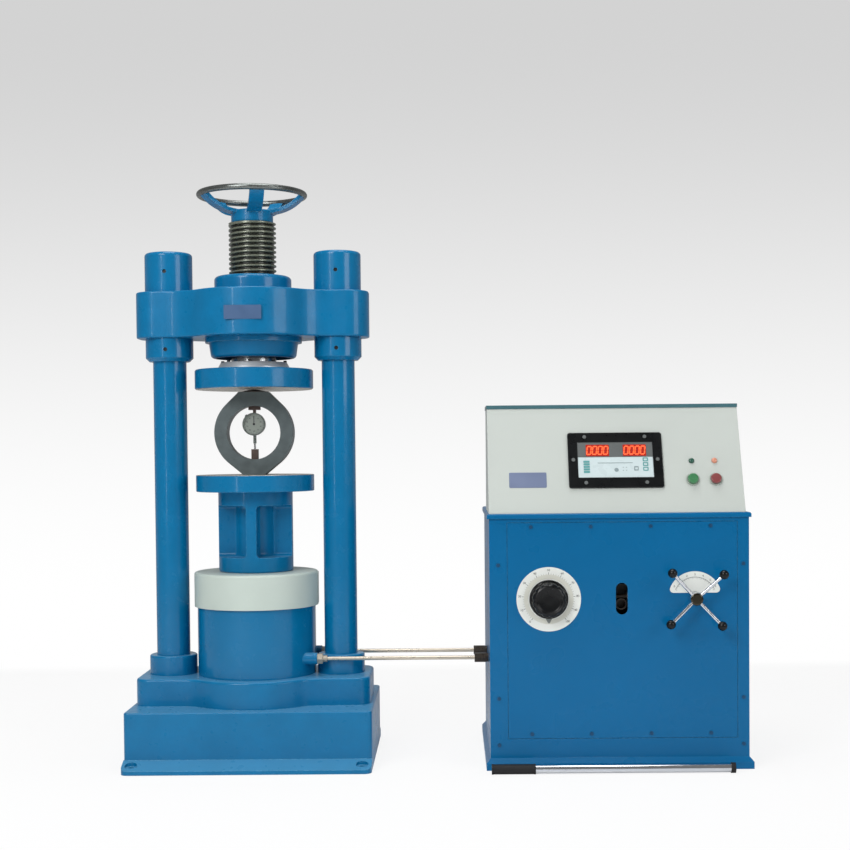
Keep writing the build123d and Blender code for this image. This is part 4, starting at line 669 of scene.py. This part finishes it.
class MACHINE_OT_rate_dial(Operator):
    """Mark the rate dial and shape its fluted knob"""

    bl_idname = "machine.rate_dial"
    bl_label = "Rate Dial"

    def execute(self, context):
        sizes = context.scene.machine_sizes
        low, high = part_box("rate_knob")
        face = corner("scale_plates", 1, 0)
        plate = on_front((low.x + high.x) / 2, (low.z + high.z) / 2, face)
        self.print_dial(plate, sizes.mark_height, context.scene.machine_colours.mark)
        knob = self.knob((high.x - low.x) / 2, face - low.y, sizes)
        shaft = prism(disc(0.006, 48), face - high.y, 0.001)
        make(
            "rate_knob_fluted", moved(joined([knob, shaft]), plate), "rate_dial",
            FINISHES["black_moulding"], swaps=("rate_knob",),
        )
        arrow = np.array([(-0.0085, 0.0), (-0.0020, -0.0125), (0.0020, -0.0125), (0.0085, 0.0)])
        pointer = prism(arrow, 0.0004, 0.0012, 0.0001)
        pale = finish(
            "pointer_grey", srgb(122, 128, 126), rough=0.4, metal=0.4, tint=0.05, grain=0.00002,
            edge=0.0002,
        )
        place = plate @ Matrix.Translation((0, -0.0455, 0))
        make("rate_knob_pointer", moved(pointer, place), "rate_dial", pale)
        return {"FINISHED"}

    def print_dial(self, plate, lift, mark):
        """A pale ring, then marks in steps of 5.6 degrees and a number at every fifth of them."""
        ink = finish("dial_ink", mark, rough=0.5, tint=0.1, grain=0.00001, edge=0.0001)
        pale = finish(
            "dial_ring", srgb(208, 209, 198), rough=0.4, tint=0.03, grain=0.00002, edge=0.0001,
        )
        ring = prism(band(0.0495, 0.0600, 0, tau - 0.0001, 96), 0.0, lift)
        angles = [radians(-50 + step * 5.6) for step in range(51)]
        long, short = (0.0052, 0.0009, 0.0626), (0.0028, 0.0005, 0.0614)
        marks = ticks(angles, 5, long, short, (0.0002, 3), 0.0, lift)
        numbers = figures(range(0, 101, 10), angles[::-5], 0.0705, 0.0052, lift)
        for name, surface, material in (
            ("rate_dial_ring", ring, pale),
            ("rate_dial_ticks", joined(marks), ink),
            ("rate_dial_numbers", joined(numbers), ink),
        ):
            make(name, moved(surface, plate), "frame", material)

    def knob(self, radius, front, sizes):
        """Radius at profile point p and angle a: the profile's radius less the flute depth times
        a raised cosine of the flute count times a, on the knob's drum alone. Each point is its share
        of the radius, its height and its share of the flutes' depth."""
        profile = np.array([
            (0.0, 0.0003, 0.0), (0.99, 0.0003, 0.0), (1.0, 0.0012, 0.0), (1.0, 0.0048, 0.0),
            (0.975, 0.0062, 0.0), (0.90, 0.0070, 0.0), (0.885, 0.0085, 0.6), (0.875, front - 0.010, 1.0),
            (0.865, front - 0.0062, 1.0), (0.83, front - 0.0036, 0.8), (0.77, front - 0.0018, 0.3),
            (0.72, front - 0.0004, 0.0), (0.69, front, 0.0), (0.66, front - 0.0006, 0.0),
            (0.61, front - 0.0034, 0.0), (0.56, front - 0.0042, 0.0), (0.2, front - 0.0042, 0.0),
            (0.0, front - 0.0042, 0.0),
        ])
        share, height, fluted = profile[:, :1], profile[:, 1:2], profile[:, 2:]
        angle = np.linspace(0, tau, 144, endpoint=False)[None, :]
        hollow = np.clip(np.cos(angle * sizes.flutes), 0.0, 1.0) ** 1.5
        across = share * radius - sizes.flute_depth * hollow * fluted
        grid = np.stack([across * np.cos(angle), across * np.sin(angle), height + 0 * angle], axis=-1)
        return skin(grid, loop_rows=True)


class MACHINE_OT_valve_plate(Operator):
    """Mark the fan-shaped plate behind the star handle"""

    bl_idname = "machine.valve_plate"
    bl_label = "Valve Plate"

    def execute(self, context):
        lift = context.scene.machine_sizes.mark_height
        low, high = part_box("star_handle")
        plate = on_front((low.x + high.x) / 2, (low.z + high.z) / 2, corner("scale_plates", 1, 0))
        angles = [radians(24 + step * 6) for step in range(23)]
        long, short = (0.0042, 0.0007, 0.0492), (0.0024, 0.0007, 0.0500)
        marks = [prism(band(0.0508, 0.0516, angles[0], angles[-1]), 0.0, lift)]
        marks += ticks(angles, 2, long, short, (0.0002, 3), 0.0, lift)
        marks += figures(range(7), [radians(150 - step * 20) for step in range(7)], 0.0572, 0.0050, lift)
        ink = FINISHES["dial_ink"]
        make("valve_plate_marks", moved(joined(marks), plate), "frame", ink)
        return {"FINISHED"}


class MACHINE_OT_gauge_face(Operator):
    """Print the dial of the gauge inside the proving ring"""

    bl_idname = "machine.gauge_face"
    bl_label = "Gauge Face"

    def execute(self, context):
        lift = context.scene.machine_sizes.mark_height * 0.5
        low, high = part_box("gauge_lens")
        plate = on_front(0.0, (low.z + high.z) / 2, GAUGE_FACE)
        paper = finish(
            "gauge_paper", srgb(176, 186, 178), rough=0.5, tint=0.03, grain=0.00001, edge=0.0001,
        )
        dial = moved(prism(disc(0.0256, 72), 0.0, lift), plate)
        make("gauge_dial", dial, "ring_gauge", paper)
        angles = [step * tau / 100 for step in range(100)]
        long, short = (0.0034, 0.0004, 0.0228), (0.0018, 0.00022, 0.0236)
        marks = ticks(angles, 10, long, short, (0.0001, 2), lift, lift * 2)
        clockwise = [pi / 2 - step * tau / 10 for step in range(10)]
        marks += figures(range(0, 100, 10), clockwise, 0.0180, 0.0034, lift, level=lift)
        ink = FINISHES["dial_ink"]
        make("gauge_dial_marks", moved(joined(marks), plate), "ring_gauge", ink)
        return {"FINISHED"}


SEGMENTS = {
    "0": "abcdef", "1": "bc", "2": "abged", "3": "abgcd", "4": "fgbc",
    "5": "afgcd", "6": "afgedc", "7": "abc", "8": "abcdefg", "9": "abcdfg",
}


class MACHINE_OT_display(Operator):
    """Build the readouts and the key panel of the display"""

    bl_idname = "machine.display"
    bl_label = "Display"

    def execute(self, context):
        low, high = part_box("display_screen")
        middle = (low.x + high.x) / 2
        self.readouts(middle, context.scene.machine_sizes, context.scene.machine_colours.glow)
        self.keys(middle)
        return {"FINISHED"}

    def spot(self, across, rise):
        """A place on the screen: across in x, rise metres up the console's slope."""
        return on_slope(0, 0) @ Matrix.Translation((across, rise, SCREEN_FACE))

    def block(self, width, height, across, rise, bottom, top, radius=0.0008):
        """A raised block with round corners."""
        outline = rectangle(width, height, radius, 4)
        return moved(prism(outline, bottom, top, 0.0001), self.spot(across, rise))

    def readouts(self, middle, sizes, glow):
        """A dark strip, two red windows on it and the lit digits on them."""
        grey = finish(
            "readout_strip", srgb(92, 96, 96), rough=0.35, coat=0.4, tint=0.08, grain=0.00001,
            edge=0.0001,
        )
        red = finish(
            "readout_window", srgb(150, 34, 22), rough=0.25, coat=0.4, tint=0.1, tint_size=0.01,
            grain=0.0,
            sockets={"Emission Color": shade(srgb(190, 40, 20), 1.0), "Emission Strength": 0.2},
        )
        lit = finish(
            "readout_segments", glow, rough=0.3, tint=0.02, grain=0.0,
            sockets={"Emission Color": shade(glow, 1.0), "Emission Strength": 1.1},
        )
        strip = self.block(0.184, 0.0395, middle, 0.1652, 0.0, 0.0006)
        make("readout_strip", strip, "frame", grey)
        rise, pitch = 0.1632, 0.0136
        windows, digits = [], []
        readings = ((middle - 0.0432, sizes.left_reading), (middle + 0.0475, sizes.right_reading))
        for centre, reading in readings:
            windows.append(self.block(0.0570, 0.0310, centre, rise, 0.0004, 0.0010, 0.002))
            first = centre - (len(reading) - 1) / 2 * pitch
            for place, figure in enumerate(reading):
                spot = self.spot(first + place * pitch, rise)
                digits += [moved(bar, spot) for bar in self.digit(figure, sizes.digit_height)]
        make("readout_windows", joined(windows), "frame", red)
        make("readout_segments", joined(digits), "frame", lit)

    def keys(self, middle):
        """Two columns of keys, then a line, a round key, a framed key and four dots."""
        teal = finish(
            "key_teal", srgb(86, 152, 152), rough=0.45, tint=0.05, grain=0.00002, edge=0.0002,
        )
        dim = finish(
            "key_grey", srgb(132, 148, 150), rough=0.45, tint=0.05, grain=0.00002, edge=0.0002,
        )
        columns = [
            self.block(0.0150, 0.0052, middle - 0.0710, 0.1335 - step * 0.0068, 0.0, 0.0008)
            for step in range(5)
        ]
        columns += [
            self.outlined(middle + 0.0730, 0.1385 - step * 0.0125, 0.0130, 0.0100)
            for step in range(3)
        ]
        make("display_keys", joined(columns), "frame", teal)
        line = self.block(0.0860, 0.0018, middle - 0.0010, 0.1300, 0.0, 0.0003, 0.0005)
        button = prism(disc(0.0052, 32), 0.0, 0.0008, 0.0002)
        small = [
            line,
            moved(button, self.spot(middle + 0.0014, 0.1113)),
            self.outlined(middle + 0.0500, 0.1150, 0.0110, 0.0110),
        ]
        for rise in (0.1100, 0.1180):
            for across in (middle + 0.0180, middle + 0.0260):
                small.append(self.block(0.0030, 0.0016, across, rise, 0.0, 0.0003, 0.0004))
        make("display_small_keys", joined(small), "frame", dim)

    def digit(self, figure, height):
        """Seven slanting bars of a digit: each is a six-sided bar along its own line."""
        wide, thick, lean = height * 0.46, height * 0.115, 0.12
        half = height / 2
        ends = {
            "a": ((-wide / 2, half), (wide / 2, half)),
            "b": ((wide / 2, half), (wide / 2, 0)),
            "c": ((wide / 2, 0), (wide / 2, -half)),
            "d": ((-wide / 2, -half), (wide / 2, -half)),
            "e": ((-wide / 2, -half), (-wide / 2, 0)),
            "f": ((-wide / 2, 0), (-wide / 2, half)),
            "g": ((-wide / 2, 0), (wide / 2, 0)),
        }
        bars = []
        for name in SEGMENTS[figure]:
            first, second = (np.array(spot) for spot in ends[name])
            run = (second - first) / np.linalg.norm(second - first)
            side = np.array([-run[1], run[0]]) * thick / 2
            inset = run * thick * 0.62
            tip = run * thick * 0.12
            outline = np.array([
                first + tip, first + inset - side, second - inset - side,
                second - tip, second - inset + side, first + inset + side,
            ])
            outline[:, 0] += outline[:, 1] * lean
            bars.append(prism(outline, 0.0008, 0.0013))
        return bars

    def outlined(self, across, rise, width, height):
        """A key drawn as a raised frame."""
        rim = rectangle(width, height, 0.0016, 5)
        hole = rectangle(width * 0.62, height * 0.55, 0.0008, 5)
        high = 0.0007
        rows = [(rim, 0.0), (rim, high), (hole, high), (hole, 0.0)]
        loops = [np.column_stack([outline, np.full(len(outline), level)]) for outline, level in rows]
        return moved(skin(np.stack(loops), loop_rows=True), self.spot(across, rise))


class MACHINE_OT_plates(Operator):
    """Add the bare plates and the seam strip of the dust cap"""

    bl_idname = "machine.plates"
    bl_label = "Bare Plates"

    def execute(self, context):
        brushed = dict(
            rough=0.36, metal=0.3, tint=0.03, grain=0.00002, stretch=(0.08, 1.0, 1.0), edge=0.0003,
        )
        thick, soft = 0.0008, 0.0002
        lilac = finish("console_plate_paint", srgb(118, 130, 160), **brushed)
        blue = finish("crosshead_plate_paint", srgb(66, 94, 132), **brushed)
        console = prism(rectangle(0.0914, 0.0404, 0.003), 0.0, thick, soft)
        place = on_slope(0.6878, 0.0877)
        make("console_plate", moved(console, place), "frame", lilac)
        head = prism(rectangle(0.092, 0.034, 0.002), 0.0, thick, soft)
        place = on_front(-0.005, 1.1180, corner("crosshead", 1, 0))
        make("crosshead_plate", moved(head, place), "frame", blue)
        low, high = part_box("dust_cap")
        sunk = 0.0012
        seam = prism(rectangle(0.020, (high.z - low.z) * 0.93, 0.002), 0.0, 0.0022, 0.0004)
        place = facing((high.x - sunk, 0, (low.z + high.z) / 2), (0, 1, 0), (0, 0, 1))
        cream = FINISHES["cap_enamel"]
        make("dust_cap_strip", moved(seam, place), "ram_assembly", cream)
        return {"FINISHED"}


class MACHINE_OT_stage(Operator):
    """Set up the floor, lamps, world and camera"""

    bl_idname = "machine.stage"
    bl_label = "Stage"

    def execute(self, context):
        self.floor()
        self.world(context.scene)
        self.lamps(context.scene)
        self.camera(context.scene)
        context.scene.view_settings.view_transform = "Standard"
        return {"FINISHED"}

    def floor(self):
        """A sweep: flat, then a quarter circle, then upright, carried along x."""
        flat_end, radius, top = 3.0, 1.5, 7.0
        turn = np.linspace(-pi / 2, 0, 24)
        curve = np.column_stack([flat_end + radius * np.cos(turn), radius + radius * np.sin(turn)])
        path = np.vstack([[[-6.0, 0.0]], curve, [[flat_end + radius, top]]])
        across = np.linspace(-9, 9, 19)
        shape = (len(across), len(path))
        parts = (across[:, None], path[:, 0], path[:, 1])
        grid = np.stack([np.broadcast_to(values, shape) for values in parts], axis=-1)
        index = np.arange(shape[0] * shape[1]).reshape(shape)
        quads = np.stack([index[:-1, :-1], index[1:, :-1], index[1:, 1:], index[:-1, 1:]], axis=-1)
        mesh = bpy.data.meshes.new("floor_sweep")
        mesh.from_pydata(grid.reshape(-1, 3).tolist(), [], quads.reshape(-1, 4).tolist())
        mesh.materials.append(self.paper())
        smooth(mesh)
        sweep = bpy.data.objects.new("floor_sweep", mesh)
        bpy.context.scene.collection.objects.link(sweep)

    def paper(self):
        """White paper that takes shadows. What looks straight at it sees mostly plain white near the
        machine, and farther off plain white that turns grey with height, dimmer in mirrors."""
        material = bpy.data.materials.new("studio_sweep")
        material.use_nodes = True
        tree = material.node_tree
        shader = tree.nodes["Principled BSDF"]
        place = add(tree, "TexCoord").outputs["Object"]
        speck = noise(tree, place, 0.4)
        base = blend(tree, speck, shade(srgb(244, 245, 246), 1.0), shade(srgb(248, 248, 248), 1.0))
        tree.links.new(base, shader.inputs["Base Color"])
        shader.inputs["Roughness"].default_value = 0.6
        seen = add(tree, "LightPath").outputs
        through = {0: seen["Is Camera Ray"], 1: seen["Is Transmission Ray"]}
        straight = add(tree, "Math", (), through, operation="MAXIMUM").outputs[0]
        either = {0: straight, 1: seen["Is Glossy Ray"]}
        direct = add(tree, "Math", (), either, operation="MAXIMUM").outputs[0]
        parts = add(tree, "SeparateXYZ", (), {0: place})
        near = fit(tree, straight, 0.0, 1.0, 0.0, FLOOR_SHARE)
        away = fit(tree, parts.outputs[1], 0.3, 1.6, 0.0, 1.0)
        away = add(tree, "Math", (), {0: near, 1: away}, operation="MAXIMUM").outputs[0]
        share = add(tree, "Math", (), {0: direct, 1: away}, operation="MULTIPLY")
        reach, height = {1: 0.0, 2: FADE_HEIGHT, 3: 0.0, 4: 1.0}, {0: parts.outputs[2]}
        rise = add(tree, "MapRange", reach, height, interpolation_type="SMOOTHSTEP").outputs[0]
        fade = blend(tree, rise, shade(WHITE, 1.0), shade(srgb(211, 211, 211), 1.0))
        strength = fit(tree, straight, 0.0, 1.0, MIRRORED, 1.0)
        white = add(tree, "Emission", (), {"Color": fade, "Strength": strength})
        chosen = {0: share.outputs[0], 1: shader.outputs[0], 2: white.outputs[0]}
        mix = add(tree, "MixShader", (), chosen)
        tree.links.new(mix.outputs[0], tree.nodes["Material Output"].inputs[0])
        return material

    def world(self, scene):
        """An even pale sky that lights softly and shows as white."""
        sky = bpy.data.worlds.new("studio")
        scene.world = sky
        sky.use_nodes = True
        tree = sky.node_tree
        back = tree.nodes["Background"]
        back.inputs[0].default_value = (1, 1, 1, 1)
        back.inputs[1].default_value = SKY
        seen = add(tree, "LightPath").outputs["Is Camera Ray"]
        white = add(tree, "Background", {0: (1, 1, 1, 1), 1: 1.0})
        mix = add(tree, "MixShader", (), {0: seen, 1: back.outputs[0], 2: white.outputs[0]})
        tree.links.new(mix.outputs[0], tree.nodes["World Output"].inputs[0])

    def lamps(self, scene):
        """Three soft boxes and a narrow strip, aimed at the middle of the machine."""
        middle = Vector((0.45, 0.0, 0.7))
        boxes = (
            ("key_box", (-1.6, -3.6, 3.0), 2.0, 2.0, 112.0),
            ("fill_box", (3.6, -2.6, 1.9), 1.8, 1.8, 40.0),
            ("top_box", (0.4, -0.4, 4.2), 2.4, 2.4, 84.0),
            ("strip_box", (-1.7, -3.2, 1.3), 0.10, 1.7, 6.0),
        )
        for name, spot, width, height, power in boxes:
            lamp = bpy.data.lights.new(name, "AREA")
            lamp.shape = "RECTANGLE"
            lamp.size = width
            lamp.size_y = height
            lamp.energy = power
            holder = bpy.data.objects.new(name, lamp)
            holder.location = spot
            aim = middle - Vector(spot)
            holder.rotation_euler = aim.to_track_quat("-Z", "Y").to_euler()
            scene.collection.objects.link(holder)

    def camera(self, scene):
        """The photograph's view: a level lens about 3.8 m in front, a little above the middle."""
        lens = bpy.data.cameras.new("camera")
        lens.sensor_width = 36.0
        lens.lens = 63.08
        lens.shift_x = -0.0200
        lens.shift_y = 0.0808
        eye = bpy.data.objects.new("camera", lens)
        pan, tilt, roll = 0.0060, radians(88.30), -0.0088
        turn = Matrix.Rotation(pan, 4, "Z") @ Matrix.Rotation(tilt, 4, "X") @ Matrix.Rotation(roll, 4, "Z")
        eye.matrix_world = Matrix.Translation((0.500, -3.808, 0.778)) @ turn
        scene.collection.objects.link(eye)
        scene.camera = eye

class MACHINE_PT_panel(Panel):
    """Lists the machine's pieces in the sidebar"""

    bl_idname = "MACHINE_PT_panel"
    bl_label = "Compression Testing Machine"
    bl_space_type = "VIEW_3D"
    bl_region_type = "UI"
    bl_category = "Machine"

    def draw(self, context):
        for step in STEPS:
            self.layout.operator(step.bl_idname)
        for group in (context.scene.machine_sizes, context.scene.machine_colours):
            for name in group.bl_rna.properties.keys():
                if name not in ("rna_type", "name"):
                    self.layout.prop(group, name)


STEPS = (
    MACHINE_OT_finishes,
    MACHINE_OT_load_screw,
    MACHINE_OT_rate_dial,
    MACHINE_OT_valve_plate,
    MACHINE_OT_gauge_face,
    MACHINE_OT_display,
    MACHINE_OT_plates,
    MACHINE_OT_stage,
)
CLASSES = (MACHINE_PG_colours, MACHINE_PG_sizes) + STEPS + (MACHINE_PT_panel,)


def register():
    """Makes the settings, the operators and the panel known."""
    for item in CLASSES:
        bpy.utils.register_class(item)
    bpy.types.Scene.machine_colours = PointerProperty(type=MACHINE_PG_colours)
    bpy.types.Scene.machine_sizes = PointerProperty(type=MACHINE_PG_sizes)


def unregister():
    """Takes them away again."""
    del bpy.types.Scene.machine_sizes
    del bpy.types.Scene.machine_colours
    for item in reversed(CLASSES):
        bpy.utils.unregister_class(item)


def main():
    """Makes the pieces in order."""
    register()
    machine = bpy.ops.machine
    machine.finishes()
    machine.load_screw()
    machine.rate_dial()
    machine.valve_plate()
    machine.gauge_face()
    machine.display()
    machine.plates()
    machine.stage()


if __name__ == "__main__":
    main()
